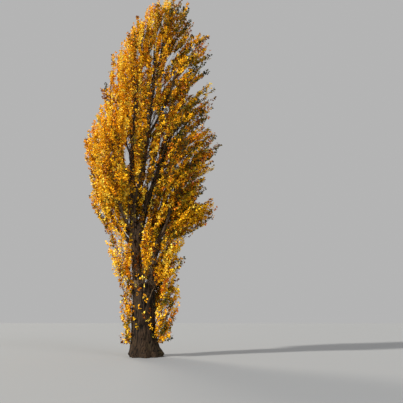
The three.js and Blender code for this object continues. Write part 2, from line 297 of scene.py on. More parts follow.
class Board:
    """The nodes of one material."""

    def __init__(self, name: str) -> None:
        """Starts a material that holds one Principled shader.

        Args:
            name: The material's name.
        """
        self.material = bpy.data.materials.new(name)
        self.material.use_nodes = True
        self.tree = self.material.node_tree
        self.shader = self.tree.nodes["Principled BSDF"]
        self.place = self.node("ShaderNodeTexCoord").outputs["Object"]

    def node(self, kind: str, settings: dict[str, Any] | None = None,
             inputs: dict[Any, Any] | None = None) -> bpy.types.Node:
        """Adds a node.

        Args:
            kind: The node's type.
            settings: Its own settings, set first.
            inputs: Values or sockets for its inputs, by name or number.

        Returns:
            The new node.
        """
        node = self.tree.nodes.new(kind)
        for key, value in (settings or {}).items():
            setattr(node, key, value)
        for key, value in (inputs or {}).items():
            self.feed(node.inputs[key], value)
        return node

    def feed(self, entry: bpy.types.NodeSocket, value: Any) -> None:
        """Links a socket to an input, or sets the input's own value.

        Args:
            entry: The input.
            value: A tone, a socket or a plain value.
        """
        if isinstance(value, Tone):
            value = value.socket
        if isinstance(value, bpy.types.NodeSocket):
            self.tree.links.new(value, entry)
        else:
            entry.default_value = value

    def maths(self, operation: str, first: Any, second: Any) -> Tone:
        """One step of arithmetic on tones."""
        node = self.node("ShaderNodeMath", {"operation": operation}, {0: first, 1: second})
        return Tone(self, node.outputs[0])

    def noise(self, scale: float, stretch: Triple = (1.0, 1.0, 1.0), detail: float = 3.0) -> Tone:
        """Noise from 0 to 1 in the piece's own space.

        Args:
            scale: How many patches there are in a metre.
            stretch: How the pattern is squeezed along x, y and z.
            detail: How many finer layers it has.

        Returns:
            The noise as a tone.
        """
        place = self.node("ShaderNodeMapping", None, {"Vector": self.place, "Scale": stretch}).outputs[0]
        inputs = {"Vector": place, "Scale": scale, "Detail": detail}
        return Tone(self, self.node("ShaderNodeTexNoise", None, inputs).outputs["Fac"])

    def attribute(self, name: str) -> Tone:
        """A number stored on the mesh, as a tone."""
        return Tone(self, self.node("ShaderNodeAttribute", {"attribute_name": name}).outputs["Fac"])

    def step(self, tone: Tone, low: float, high: float) -> Tone:
        """A smooth step of a tone.

        Args:
            tone: The tone to map.
            low: Where the step starts.
            high: Where the step ends.

        Returns:
            A tone from 0 to 1.
        """
        settings = {"interpolation_type": "SMOOTHSTEP"}
        inputs = {"Value": tone, "From Min": low, "From Max": high}
        return Tone(self, self.node("ShaderNodeMapRange", settings, inputs).outputs[0])

    def blend(self, share: Tone, low: Any, high: Any) -> bpy.types.NodeSocket:
        """A colour between two.

        Args:
            share: 0 gives low and 1 gives high.
            low: A colour or a colour socket.
            high: A colour or a colour socket.

        Returns:
            The blended colour's socket.
        """
        # Inputs 6 and 7 of the node are its two colours, and output 2 is the colour between them.
        low, high = (((*c, 1.0) if isinstance(c, tuple) else c) for c in (low, high))
        node = self.node("ShaderNodeMix", {"data_type": "RGBA"}, {0: share, 6: low, 7: high})
        return node.outputs[2]

    def bump(self, height: Tone, depth: float) -> None:
        """Gives the surface a fine relief."""
        node = self.node("ShaderNodeBump", None, {"Height": height, "Distance": depth, "Strength": 1.0})
        self.feed(self.shader.inputs["Normal"], node.outputs[0])

    def set(self, **values: Any) -> None:
        """Sets inputs of the shader, with _ for a space in their names."""
        for key, value in values.items():
            self.feed(self.shader.inputs[key.replace("_", " ")], value)


@dataclass(frozen=True)
class OldBark:
    """The furrowed bark of the trunk and stems, with a green-grey bloom, dark in its furrows partly as the
    bark's own darker fissures and partly as painted shade.
    """

    name: str = "old_bark"
    # The trunk's ridge and plate colours are kept dark, partly as the old bark's own dark brown and partly
    # as painted shade on the trunk.
    ridge: int = 0x3F2F20
    plate: int = 0x251A11
    # The near-black furrow colour is partly painted shade in the furrows.
    furrow: int = 0x0D0906
    bloom: int = 0x433D26
    roughness: float = 0.93

    def material(self) -> bpy.types.Material:
        """Builds the material, which reads the mesh's own relief from the attribute furrow."""
        board = Board(self.name)
        furrow = board.attribute("furrow")
        patches = board.noise(1.6, (1.0, 1.0, 0.5))
        grain = board.noise(30.0, (1.0, 1.0, 0.22), 6.0)
        rough = board.step(grain + patches * 0.5, 0.55, 0.95)
        skin = board.blend(rough, linear(self.plate), linear(self.ridge))
        skin = board.blend(board.step(patches, 0.52, 0.72) * 0.45, skin, linear(self.bloom))
        # Painted shade: where the relief sinks into a furrow, the colour darkens towards the near-black
        # furrow colour, on top of the bark's own darker fissures.
        skin = board.blend(board.step(furrow, 0.08, 0.65), skin, linear(self.furrow))
        board.set(Base_Color=skin, Roughness=self.roughness, Specular_IOR_Level=0.25)
        board.bump(grain * 0.75 + board.noise(80.0, (1.0, 1.0, 0.5)) * 0.25, 0.03)
        return board.material


# The stems' ridge and plate colours are paler than the trunk's, partly as smoother younger bark and partly
# as painted light that makes up for the shade the crown casts on the stems.
STEM_BARK = OldBark("stem_bark", 0x7A6550, 0x524232, 0x19130D, 0x60563C)


@dataclass(frozen=True)
class YoungBark:
    """The smoother bark of the boughs, olive-grey with rough bands and dark marks, whose colour its furrows
    also take, partly as the bark's own darker fissures and partly as painted shade.
    """

    name: str = "young_bark"
    skin: int = 0x4E3F2C
    band: int = 0x6A5943
    mark_and_furrow_shade: int = 0x231A12
    roughness: float = 0.85

    def material(self) -> bpy.types.Material:
        """Builds the material."""
        board = Board(self.name)
        furrow = board.attribute("furrow")
        bands = board.noise(22.0, (0.4, 0.4, 1.5), 2.0)
        patches = board.noise(3.0, (1.0, 1.0, 0.6))
        rough = board.step(bands + patches * 0.4, 0.6, 0.85)
        marks = board.step(board.noise(45.0, (1.0, 1.0, 0.3)), 0.6, 0.72)
        skin = board.blend(rough, linear(self.skin), linear(self.band))
        skin = board.blend(marks * 0.8, skin, linear(self.mark_and_furrow_shade))
        # Painted shade: where the relief sinks into a furrow, the colour darkens to the dark mark colour, on
        # top of the bark's own darker fissures.
        skin = board.blend(board.step(furrow, 0.2, 0.9), skin, linear(self.mark_and_furrow_shade))
        board.set(Base_Color=skin, Roughness=self.roughness, Specular_IOR_Level=0.3)
        board.bump(bands * 0.6 + patches * 0.4, 0.006)
        return board.material


@dataclass(frozen=True)
class PlainFinish:
    """One even colour, as the small joined things have."""

    name: str
    colour: int
    roughness: float = 0.8
    specular: float = 0.3

    def material(self) -> bpy.types.Material:
        """Builds the material."""
        board = Board(self.name)
        board.set(Base_Color=(*linear(self.colour), 1.0), Roughness=self.roughness)
        board.set(Specular_IOR_Level=self.specular)
        return board.material


class Tint(Enum):
    """The autumn colours of the leaves, dealt out by spray; the palest and the darkest also serve as painted
    sunlight and painted shade.
    """

    PALE_GOLD = 0xFFDE52
    GOLDEN = 0xF9C01C
    YOLK = 0xEFA80E
    ORANGE = 0xE58818
    AMBER = 0xAE6C0A
    BRONZE = 0x7A4409
    OLIVE_GOLD = 0x9C8016
    OLIVE = 0x5C5216
    DARK_GREEN = 0x35361A

    @property
    def label(self) -> str:
        """The tint's name in lower case."""
        return self.name.lower()


TINTS = list(Tint)


# The photograph's view


@dataclass(frozen=True)
class Eye:
    """Where the tree is seen from: standing height, some way off, looking up."""

    place: Triple = (2.768, -21.095, 1.6)
    pitch: float = 16.7
    lens: float = 36.0
    sensor: float = 36.0

    def on_plane(self, points: Array) -> Array:
        """Where points are seen on the upright plane through the trunk.

        Args:
            points: Places in the tree.

        Returns:
            Their x and z on that plane, along the lines of sight.
        """
        offset = points - np.array(self.place)
        share = -self.place[1] / offset[:, 1]
        x, z = (self.place[k] + offset[:, k] * share for k in (0, 2))
        return np.stack([x, z], axis=1)

    def camera(self) -> None:
        """Adds the camera and makes it the scene's."""
        data = bpy.data.cameras.new("camera")
        data.lens, data.sensor_width = self.lens, self.sensor
        camera = bpy.data.objects.new("camera", data)
        camera.location = self.place
        camera.rotation_euler = (math.radians(90 + self.pitch), 0.0, 0.0)
        bpy.context.scene.collection.objects.link(camera)
        bpy.context.scene.camera = camera


def upright(seen: Array) -> Array:
    """Places on the plane through the trunk as points in space."""
    return np.stack([seen[:, 0], np.zeros(len(seen)), seen[:, 1]], axis=1)


@dataclass(frozen=True)
class SkyGap:
    """An upright oval of open sky in the crown, on the plane through the trunk."""

    at: tuple[float, float]
    size: tuple[float, float]
    lean: float = 0.0

    def holds(self, seen: Array, margin: float) -> Array:
        """Which of the places are seen in the gap.

        Args:
            seen: Places on the plane.
            margin: How far the gap reaches past its edge.

        Returns:
            True for each place in the gap.
        """
        up = (seen[:, 1] - self.at[1]) * 2
        across = (seen[:, 0] - self.at[0]) * 2 - up / self.size[1] * self.lean
        return (across / (self.size[0] + margin)) ** 2 + (up / (self.size[1] + margin)) ** 2 < 1


SKY_GAPS = (
    SkyGap((-1.43, 10.93), (0.40, 1.73)),
    SkyGap((-0.02, 12.82), (0.40, 1.42), 0.06),
    SkyGap((-0.06, 8.65), (0.36, 1.35), 0.24),
    SkyGap((0.78, 17.0), (0.26, 1.25), 0.42),
    SkyGap((-0.74, 16.3), (0.26, 0.56), 0.2),
    SkyGap((-0.33, 17.5), (0.20, 0.50), 0.06),
)
NOTCHES = (
    SkyGap((2.75, 15.30), (0.90, 1.50), 1.30),
    SkyGap((3.10, 8.35), (0.75, 1.00), 0.80),
    SkyGap((1.80, 5.20), (0.45, 0.55), 0.60),
)


@dataclass(frozen=True)
class Fan:
    """How branches spread like a fan from the fork, more to the right than to the left.

    Attributes:
        limits: The sides past which the slope grows no more.
        lean: The slope in the middle, to the right.
        spread: How much the slope grows for each metre from the middle.
        right: How much more it grows on the right, and how much more again by the square.
        closed: How much less it spreads on the right at the top.
        top: The heights at which that starts and is full.
    """

    limits: tuple[float, float] = (-2.6, 3.2)
    lean: float = 0.10
    spread: float = 0.10
    right: tuple[float, float] = (0.20, 0.03)
    closed: float = 0.55
    top: tuple[float, float] = (16.5, 20.0)

    def slope(self, x: Array, z: Array) -> Array:
        """How far branches go to the right for each metre that they rise.

        Args:
            x: Places from left to right.
            z: Their heights.

        Returns:
            The slope in each place.
        """
        x = np.clip(x, *self.limits)
        right = np.maximum(x, 0.0) * (1 - self.closed * ease(z, *self.top))
        return self.lean + self.spread * x + self.right[0] * right + self.right[1] * right**2


FAN = Fan()


@dataclass(frozen=True)
class Veil:
    """An oval part of the crown, on the plane through the trunk, where leaves stand in loose streaks.

    Attributes:
        oval: Its place and size.
        streak: The usual distance between two streaks.
        length: The length of a streak.
        open_share: The share of the part that lies open.
        shown: The share of twigs that are left in an open streak.
        seed: Which pattern it is.
    """

    oval: SkyGap
    streak: float
    length: float
    open_share: float
    shown: float
    seed: int

    def thins(self, seen: Array, rng: np.random.Generator) -> Array:
        """Which twigs are left out.

        Args:
            seen: Where twigs are seen on the plane.
            rng: The source of chance.

        Returns:
            True for each twig that goes.
        """
        drawn = np.zeros(len(seen))
        for step in np.linspace(-0.5, 0.5, 9) * self.length:
            x = seen[:, 0] + FAN.slope(seen[:, 0], seen[:, 1]) * step
            place = np.stack([x, np.zeros(len(x)), seen[:, 1] + step], axis=1)
            drawn += ripple(place, self.streak, self.seed)
        inside = self.oval.holds(seen, 0.0)
        if not inside.any():
            return inside
        edge = np.quantile(drawn[inside], 1 - self.open_share)
        return inside & (drawn > edge) & (rng.random(len(seen)) > self.shown)


VEILS = (
    Veil(SkyGap((1.15, 12.8), (3.2, 11.0), 1.6), 0.28, 1.0, 0.28, 0.08, 71),
    Veil(SkyGap((0.15, 17.6), (3.0, 5.6), 0.4), 0.27, 0.9, 0.27, 0.12, 72),
    Veil(SkyGap((-1.9, 13.8), (3.0, 8.0), 0.0), 0.34, 1.2, 0.13, 0.25, 73),
)


# The frame's solids, read back


def merged_mesh(node: bpy.types.Object) -> tuple[Array, Array]:
    """A node's mesh with its loose triangles merged.

    Args:
        node: The frame's object.

    Returns:
        The vertices and the triangles.
    """
    points = np.zeros(len(node.data.vertices) * 3)
    node.data.vertices.foreach_get("co", points)
    corners = np.zeros(len(node.data.loops), dtype=np.int64)
    node.data.loops.foreach_get("vertex_index", corners)
    points, same = np.unique(np.round(points.reshape(-1, 3), 5), axis=0, return_inverse=True)
    return points, same.ravel()[corners].reshape(-1, 3)


def whole_rings(points: Array, sides: int) -> list[Array]:
    """The level rings of a limb's solid that no neighbour has cut.

    Args:
        points: The solid's vertices.
        sides: How many vertices a ring has.

    Returns:
        The rings from the lowest up, each in order round the limb.
    """
    levels = np.round(points[:, 2], 3)
    rings = []
    for level in np.unique(levels):
        ring = points[levels == level]
        if len(ring) not in (sides, sides + 1):
            continue
        away = np.linalg.norm(ring - ring.mean(0), axis=1)
        ring = ring[away > 0.2 * away.max()]
        middle = ring.mean(0)
        turn = np.arctan2(ring[:, 1] - middle[1], ring[:, 0] - middle[0])
        if len(ring) == sides:
            rings.append(ring[np.argsort(turn)])
    return rings


@dataclass
class Limb:
    """A trunk, stem or bough as a line of centres with a radius at each.

    Attributes:
        name: The node's name.
        centres: Points from foot to tip.
        radii: The radius at each point.
    """

    name: str
    centres: Array
    radii: Array

    @property
    def tip(self) -> Array:
        """The upper end."""
        return self.centres[-1]

    def nearest(self, points: Array) -> tuple[Array, Array, Array]:
        """The nearest place on the limb's line to each point.

        Args:
            points: The points, one a row.

        Returns:
            The nearest places, the distances to them and the radius there.
        """
        start, end = self.centres[:-1], self.centres[1:]
        along = end - start
        length = (along * along).sum(1)
        share = np.einsum("psk,sk->ps", points[:, None] - start[None], along) / length
        share = np.clip(share, 0.0, 1.0)
        place = start[None] + along[None] * share[..., None]
        away = np.linalg.norm(points[:, None] - place, axis=2)
        best = away.argmin(1)
        rows = np.arange(len(points))
        radius = self.radii[:-1][best] + (self.radii[1:] - self.radii[:-1])[best] * share[rows, best]
        return place[rows, best], away[rows, best], radius

    def clear(self, points: Array) -> Array:
        """How far points lie outside the limb, negative inside."""
        _, away, radius = self.nearest(points)
        return away - radius


def limb_from(name: str, rings: list[Array]) -> Limb:
    """A limb with the middles and mean radii of its rings.

    Args:
        name: Its name.
        rings: Its rings from foot to tip.

    Returns:
        The limb.
    """
    centres = np.array([ring.mean(0) for ring in rings])
    radii = [np.linalg.norm(ring - ring.mean(0), axis=1).mean() for ring in rings]
    return Limb(name, centres, np.array(radii))


@dataclass
class Skeleton:
    """All the limbs of the frame, each reaching down into the limb that carries it."""

    nodes: dict[str, bpy.types.Object]
    limb_sides: int = 8
    trunk_sides: int = 18
    reach_step: float = 0.09
    reach_most: int = 30
    rings: list[Array] = field(default_factory=list)
    limbs: dict[str, Limb] = field(default_factory=dict)

    def read(self) -> None:
        """Reads the trunk and then the limbs, the thickest first."""
        self.rings = whole_rings(merged_mesh(self.nodes["trunk"])[0], self.trunk_sides)
        self.limbs["trunk"] = limb_from("trunk", self.rings)
        found = [
            limb_from(name, whole_rings(merged_mesh(node)[0], self.limb_sides))
            for name, node in self.nodes.items() if name.startswith(("stem", "bough"))
        ]
        for limb in sorted(found, key=lambda limb: (limb.name.startswith("bough"), -limb.radii[0])):
            self._reach_down(limb)
            self.limbs[limb.name] = limb

    def _reach_down(self, limb: Limb) -> None:
        """Carries a limb on down its curve until it is well inside its parent."""
        height = limb.centres[:3, 2]
        curves = [np.polyfit(height, limb.centres[:3, k], 2) for k in range(2)]
        growth = (limb.radii[0] - limb.radii[1]) / (height[1] - height[0])
        for step in range(1, self.reach_most):
            z = height[0] - step * self.reach_step
            place = np.array([np.polyval(curves[0], z), np.polyval(curves[1], z), z])
            radius = limb.radii[0] + growth * self.reach_step
            limb.centres = np.vstack([place, limb.centres])
            limb.radii = np.concatenate([[radius], limb.radii])
            if min(other.clear(place[None])[0] for other in self.limbs.values()) < -0.5 * radius:
                break

    def nearest_wood(self, place: Array) -> tuple[Array, float]:
        """Where the bark is nearest to a place.

        Args:
            place: The place.

        Returns:
            The nearest place on a limb's line and the radius there.
        """
        found = [limb.nearest(place[None]) for limb in self.limbs.values()]
        on_line, _, radius = min(found, key=lambda row: row[1][0] - row[2][0])
        return on_line[0], float(radius[0])

    def clear(self, points: Array) -> Array:
        """How far points lie outside all the limbs, negative inside one."""
        return np.min([limb.clear(points) for limb in self.limbs.values()], axis=0)


class Mass:
    """One mass of foliage: the closed solid of its node, read as a space to fill."""

    SLICE = 0.3
    TO_TIP = (0.97, 0.03)

    def __init__(self, name: str, node: bpy.types.Object) -> None:
        """Reads the node.

        Args:
            name: The node's name.
            node: The frame's object.
        """
        self.name = name
        self.points, self.triangles = merged_mesh(node)
        self.tree = BVHTree.FromPolygons(self.points.tolist(), self.triangles.tolist())
        self.low, self.high = self.points.min(0), self.points.max(0)
        levels = np.arange(self.low[2] + self.SLICE / 3, self.high[2] - 0.05, self.SLICE)
        slices = [self.cut(level) for level in levels]
        line = np.array([[*self._middle(cut), level] for level, cut in zip(levels, slices) if len(cut) > 2])
        tip = self.points[self.points[:, 2].argmax()]
        line = self._evened(line)
        self.axis = np.vstack([line, tip * self.TO_TIP[0] + line[-1] * self.TO_TIP[1]])

    def cut(self, level: float) -> Array:
        """The outline of the mass at a level.

        Args:
            level: The height of the cut.

        Returns:
            Pairs of x, y points, one pair for each triangle that is cut.
        """
        corners = self.points[self.triangles]
        above = corners[:, :, 2] > level
        crossed = corners[(above.any(1)) & (~above.all(1))]
        pairs = []
        for a, b in ((0, 1), (1, 2), (2, 0)):
            drop = crossed[:, b, 2] - crossed[:, a, 2]
            hit = (crossed[:, a, 2] > level) != (crossed[:, b, 2] > level)
            share = (level - crossed[:, a, 2]) / np.where(hit, drop, 1.0)
            place = crossed[:, a] + (crossed[:, b] - crossed[:, a]) * share[:, None]
            pairs.append(np.where(hit[:, None], place, np.nan))
        found = np.stack(pairs, axis=1)
        order = np.argsort(np.isnan(found[:, :, 0]), axis=1)[:, :2]
        return np.take_along_axis(found, order[..., None], axis=1)[:, :, :2]

    @staticmethod
    def _middle(cut: Array) -> Array:
        """The middle of an outline, weighed by the length of its edges."""
        length = np.linalg.norm(cut[:, 1] - cut[:, 0], axis=1) + 1e-9
        return (cut.mean(1) * length[:, None]).sum(0) / length.sum()

    @staticmethod
    def _evened(line: Array) -> Array:
        """A line with its small kinks taken out."""
        for _ in range(2):
            line[1:-1, :2] = (line[:-2, :2] + 2 * line[1:-1, :2] + line[2:, :2]) / 4
        return line


@dataclass(frozen=True)
class Swell:
    """A place where the crown is fuller than its masses, or slimmer.

    Attributes:
        height: Its height.
        spread: How far it reaches up and down.
        turn: The direction, in degrees from the right.
        breadth: How far it reaches round, in degrees.
        out: How much fuller the crown is there, negative where it is slimmer.
    """

    height: float
    spread: float
    turn: float
    breadth: float
    out: float

    def at(self, height: Array, turn: Array) -> Array:
        """How much fuller the crown is.

        Args:
            height: Heights.
            turn: Directions, in degrees from the right.

        Returns:
            Metres.
        """
        away = (turn - self.turn + 180.0) % 360.0 - 180.0
        above = (height - self.height) / self.spread
        return self.out * np.exp(-(above**2) - (away / self.breadth) ** 2)


@dataclass
class Crown:
    """All the masses together, as a reach round a middle line, level by level.

    Attributes:
        masses: The masses.
        sectors: How many directions the reach is measured in.
        level_step: The height between two measured levels.
        from_afar: The distance that the outline is looked for from.
        evening: How many times the kinks of the middle line are smoothed.
        bridged: How many levels and sectors a hollow between two masses may span to be filled.
        bulge: How far shoots may pass the masses at the very top, and where that starts and is full.
        margin: How far they may pass the masses everywhere.
        swells: Places where the photograph shows the crown a little fuller or slimmer than the masses.
    """

    masses: list[Mass]
    sectors: int = 36
    level_step: float = 0.4
    from_afar: float = 9.0
    evening: int = 8
    bridged: int = 2
    bulge: tuple[float, float, float] = (0.10, 18.5, 20.5)
    margin: float = 0.10
    swells: tuple[Swell, ...] = (
        Swell(17.0, 1.6, 0.0, 60.0, 0.38),
        Swell(11.3, 1.2, 0.0, 45.0, 0.22),
        Swell(7.2, 0.6, 0.0, 35.0, 0.25),
        Swell(5.8, 0.9, 180.0, 60.0, 0.12),
        Swell(15.4, 2.0, 180.0, 60.0, 0.20),
        Swell(7.2, 0.9, -130.0, 45.0, 0.40),
        Swell(6.4, 0.8, 122.0, 40.0, 0.85),
        Swell(11.6, 1.0, 180.0, 45.0, 0.06),
        Swell(18.6, 1.9, 90.0, 60.0, 0.42),
        Swell(18.6, 1.9, -90.0, 60.0, 0.42),
        Swell(17.9, 1.3, 180.0, 50.0, -0.24),
        Swell(21.4, 0.7, 0.0, 400.0, -0.26),
    )
    levels: Array = field(default_factory=lambda: np.zeros(0))
    reach: Array = field(default_factory=lambda: np.zeros((0, 0)))
    middle: Array = field(default_factory=lambda: np.zeros((0, 2)))

    def measure(self) -> None:
        """Measures how far the crown reaches in each direction at each level."""
        low = min(mass.low[2] for mass in self.masses)
        high = max(mass.high[2] for mass in self.masses)
        self.levels = np.arange(low + 0.1, high, self.level_step)
        turns = np.arange(self.sectors) * 2 * math.pi / self.sectors - math.pi
        ways = np.stack([np.cos(turns), np.sin(turns), np.zeros(self.sectors)], axis=1)
        found = [
            [mass for mass in self.masses if mass.low[2] < level < mass.high[2]]
            for level in self.levels
        ]
        edges = [np.concatenate([mass.cut(level).reshape(-1, 2) for mass in near])
                 for level, near in zip(self.levels, found)]
        self.middle = np.array([(edge.min(0) + edge.max(0)) / 2 for edge in edges])
        for _ in range(self.evening):
            self.middle[1:-1] = (self.middle[:-2] + self.middle[1:-1] + self.middle[2:]) / 3
        reach = []
        for level, near, centre in zip(self.levels, found, self.middle):
            starts = np.array([*centre, level]) + ways * self.from_afar
            reach.append([self._reach(near, start, way) for start, way in zip(starts, ways)])
        self.reach = self._bridge(np.array(reach))

    def _reach(self, near: list[Mass], start: Array, way: Array) -> float:
        """How far out the masses reach in one direction."""
        hits = [mass.tree.ray_cast(Vector(start), Vector(-way))[3] for mass in near]
        return max((self.from_afar - hit for hit in hits if hit is not None), default=0.0)

    def _bridge(self, reach: Array) -> Array:
        """Fills the narrow hollows between masses, up and down and then round about."""
        span = range(-self.bridged, self.bridged + 1)
        for axis in (0, 1):
            mode = "edge" if axis == 0 else "wrap"
            width = [(0, 0), (0, 0)]
            width[axis] = (self.bridged, self.bridged)
            count = reach.shape[axis]
            for pick in (np.max, np.min):
                padded = np.pad(reach, width, mode=mode)
                parts = [np.take(padded, np.arange(count) + self.bridged + i, axis=axis) for i in span]
                reach = pick(parts, axis=0)
        return reach

    def _look_up(self, points: Array) -> tuple[Array, Array]:
        """How far points are from the middle line, and how far the crown reaches in their direction."""
        row = np.interp(points[:, 2], self.levels, np.arange(len(self.levels)))
        low = row.astype(int)
        high = np.minimum(low + 1, len(self.levels) - 1)
        up = row - low
        offset = points[:, :2] - self.middle[low] * (1 - up)[:, None] - self.middle[high] * up[:, None]
        turn = (np.arctan2(offset[:, 1], offset[:, 0]) / (2 * math.pi) + 0.5) * self.sectors
        left = np.floor(turn).astype(int) % self.sectors
        right = (left + 1) % self.sectors
        across = turn - np.floor(turn)
        lower = self.reach[low, left] * (1 - across) + self.reach[low, right] * across
        upper = self.reach[high, left] * (1 - across) + self.reach[high, right] * across
        way = np.degrees(np.arctan2(offset[:, 1], offset[:, 0]))
        more = sum(swell.at(points[:, 2], way) for swell in self.swells)
        return np.linalg.norm(offset, axis=1), lower * (1 - up) + upper * up + more

    def outness(self, points: Array) -> Array:
        """How far out in the crown points lie, 0 at its middle and 1 at its outline."""
        away, reach = self._look_up(points)
        return away / np.maximum(reach, 0.2)

    def beyond(self, points: Array) -> Array:
        """How far points lie outside the crown, in metres, negative inside."""
        away, reach = self._look_up(points)
        over = np.maximum(points[:, 2] - self.levels[-1], self.levels[0] - points[:, 2])
        bulge = self.bulge[0] * ease(points[:, 2], *self.bulge[1:])
        return np.maximum(away - reach, over) - self.margin - bulge


# Wood


@dataclass
class BarkRelief:
    """The relief of bark round a limb, as furrows that run along it.

    Attributes:
        spacing: The usual distance between furrows.
        stretch: How much longer than wide the plates are.
        depth: The depth of a furrow.
        swelling: The height of the broad swellings.
        swelling_length: The usual distance between swellings.
        seed: Which pattern it is.
    """

    spacing: float
    stretch: float
    depth: float
    swelling: float
    swelling_length: float
    seed: int

    def on(self, turn: Array, radius: Array, along: Array) -> tuple[Array, Array]:
        """The relief at places round and along a limb.

        Args:
            turn: The angle round the limb.
            radius: The limb's radius there.
            along: The distance along the limb.

        Returns:
            How far the surface stands out, and how much of a furrow it is, from 0 to 1.
        """
        wrapped = np.stack([np.cos(turn) * radius, np.sin(turn) * radius, along / self.stretch], axis=1)
        wander = ripple(wrapped, self.spacing * 3, self.seed + 1) * self.spacing * 0.35
        field_ = ripple(wrapped + wander[:, None] * [[1, 1, 0]], self.spacing * 2, self.seed)
        broken = ease(ripple(wrapped, self.spacing * 5, self.seed + 2), -1.4, 0.2)
        furrow = np.exp(-np.abs(field_ / 0.36) ** 1.5) * broken
        crest = 1 - np.exp(-((field_ / 0.9) ** 2))
        plain = np.stack([np.cos(turn) * radius, np.sin(turn) * radius, along], axis=1)
        broad = ripple(plain, self.swelling_length, self.seed + 3)
        return self.depth * (0.35 * crest - furrow) + self.swelling * broad, furrow


@dataclass
class LimbSkin:
    """Makes one limb's own mesh, with bark relief and with collars where limbs meet.

    Attributes:
        limb: The limb.
        skeleton: All the limbs, for the collars.
        sides: How many columns of faces go round it.
        row_height: The height of a row of faces.
        relief: Its bark.
        collar: How wide the rounding at a fork is.
    """

    limb: Limb
    skeleton: Skeleton
    sides: int
    row_height: float
    relief: BarkRelief
    collar: float

    def blank(self, rows: int) -> bpy.types.Object:
        """A closed cylinder from 0 to 1 with level rows of faces.

        Args:
            rows: How many rows it has.

        Returns:
            The new object.
        """
        bpy.ops.object.select_all(action="DESELECT")
        bpy.ops.mesh.primitive_cylinder_add(
            vertices=self.sides, radius=1.0, depth=1.0, end_fill_type="TRIFAN", location=(0, 0, 0.5)
        )
        piece = bpy.context.object
        piece.name = piece.data.name = self.limb.name + "_bark"
        bpy.ops.object.transform_apply(location=True)
        bpy.ops.object.mode_set(mode="EDIT")
        bpy.ops.mesh.select_mode(type="EDGE")
        bpy.ops.mesh.select_all(action="DESELECT")
        bpy.ops.object.mode_set(mode="OBJECT")
        ends = [piece.data.vertices[v].co.z for edge in piece.data.edges for v in edge.vertices]
        upright = [abs(a - b) > 0.5 for a, b in zip(ends[::2], ends[1::2])]
        piece.data.edges.foreach_set("select", upright)
        bpy.ops.object.mode_set(mode="EDIT")
        bpy.ops.mesh.subdivide_edgering(number_cuts=rows - 1, interpolation="LINEAR")
        bpy.ops.object.mode_set(mode="OBJECT")
        return piece

    def radius_at(self, turn: Array, share: Array, place: Array) -> Array:
        """The limb's bare radius."""
        steps = np.linspace(0, 1, len(self.limb.radii))
        return np.interp(share, steps, self.limb.radii)

    def line(self, share: Array) -> Array:
        """The centre line's points at shares of its length."""
        dense = smooth_line(self.limb.centres, 400)
        at = np.linspace(0, 1, len(dense))
        return np.stack([np.interp(share, at, dense[:, k]) for k in range(3)], axis=1)

    def build(self) -> bpy.types.Object:
        """Builds the mesh, with the attribute furrow for its finish, whose bark finishes darken the furrows
        partly as painted shade.

        Returns:
            The new object.
        """
        length = float(np.linalg.norm(np.diff(self.limb.centres, axis=0), axis=1).sum())
        piece = self.blank(max(6, round(length / self.row_height)))
        count = len(piece.data.vertices)
        flat = np.zeros(count * 3)
        piece.data.vertices.foreach_get("co", flat)
        flat = flat.reshape(-1, 3)
        turn = np.arctan2(flat[:, 1], flat[:, 0])
        share = flat[:, 2]
        fill = np.minimum(np.linalg.norm(flat[:, :2], axis=1), 1.0)
        centre = self.line(share)
        before, after = self.line(np.clip(share - 0.01, 0, 1)), self.line(np.clip(share + 0.01, 0, 1))
        heading = unit(after - before)
        side = unit(np.array([1.0, 0, 0]) - heading * heading[:, :1])
        other = np.cross(heading, side)
        radius = self.radius_at(turn, share, centre)
        outward = around(turn, side, other)
        shape = centre + outward * (radius * fill)[:, None]
        proud, furrow = self.relief.on(turn, radius, share * length)
        proud = proud * self._fade(share) + self._fillet(shape)
        shape += outward * (np.minimum(proud, radius * 0.5) * fill)[:, None]
        shape = self.settle(shape, centre)
        piece.data.vertices.foreach_set("co", shape.astype(np.float32).ravel())
        mark_and_furrow_shade = piece.data.attributes.new("furrow", "FLOAT", "POINT")
        mark_and_furrow_shade.data.foreach_set("value", (furrow * fill).astype(np.float32))
        piece.data.update()
        for polygon in piece.data.polygons:
            polygon.use_smooth = True
        return piece

    def _fade(self, share: Array) -> Array:
        """How strong the relief is along the limb: less where it is thin."""
        return 1.0 - 0.25 * ease(share, 0.6, 1.0)

    def settle(self, shape: Array, centre: Array) -> Array:
        """A last correction of the shape, none on a plain limb."""
        return shape

    def _fillet(self, shape: Array) -> Array:
        """How far the surface swells where another limb comes near."""
        swell = np.zeros(len(shape))
        for other in self.skeleton.limbs.values():
            if other.name == self.limb.name:
                continue
            _, away, radius = other.nearest(shape)
            width = np.minimum(self.collar, 1.6 * radius)
            near = np.clip(1 - np.abs(away - radius) / width, 0, 1)
            swell = np.maximum(swell, near * near * width / 4)
        return swell


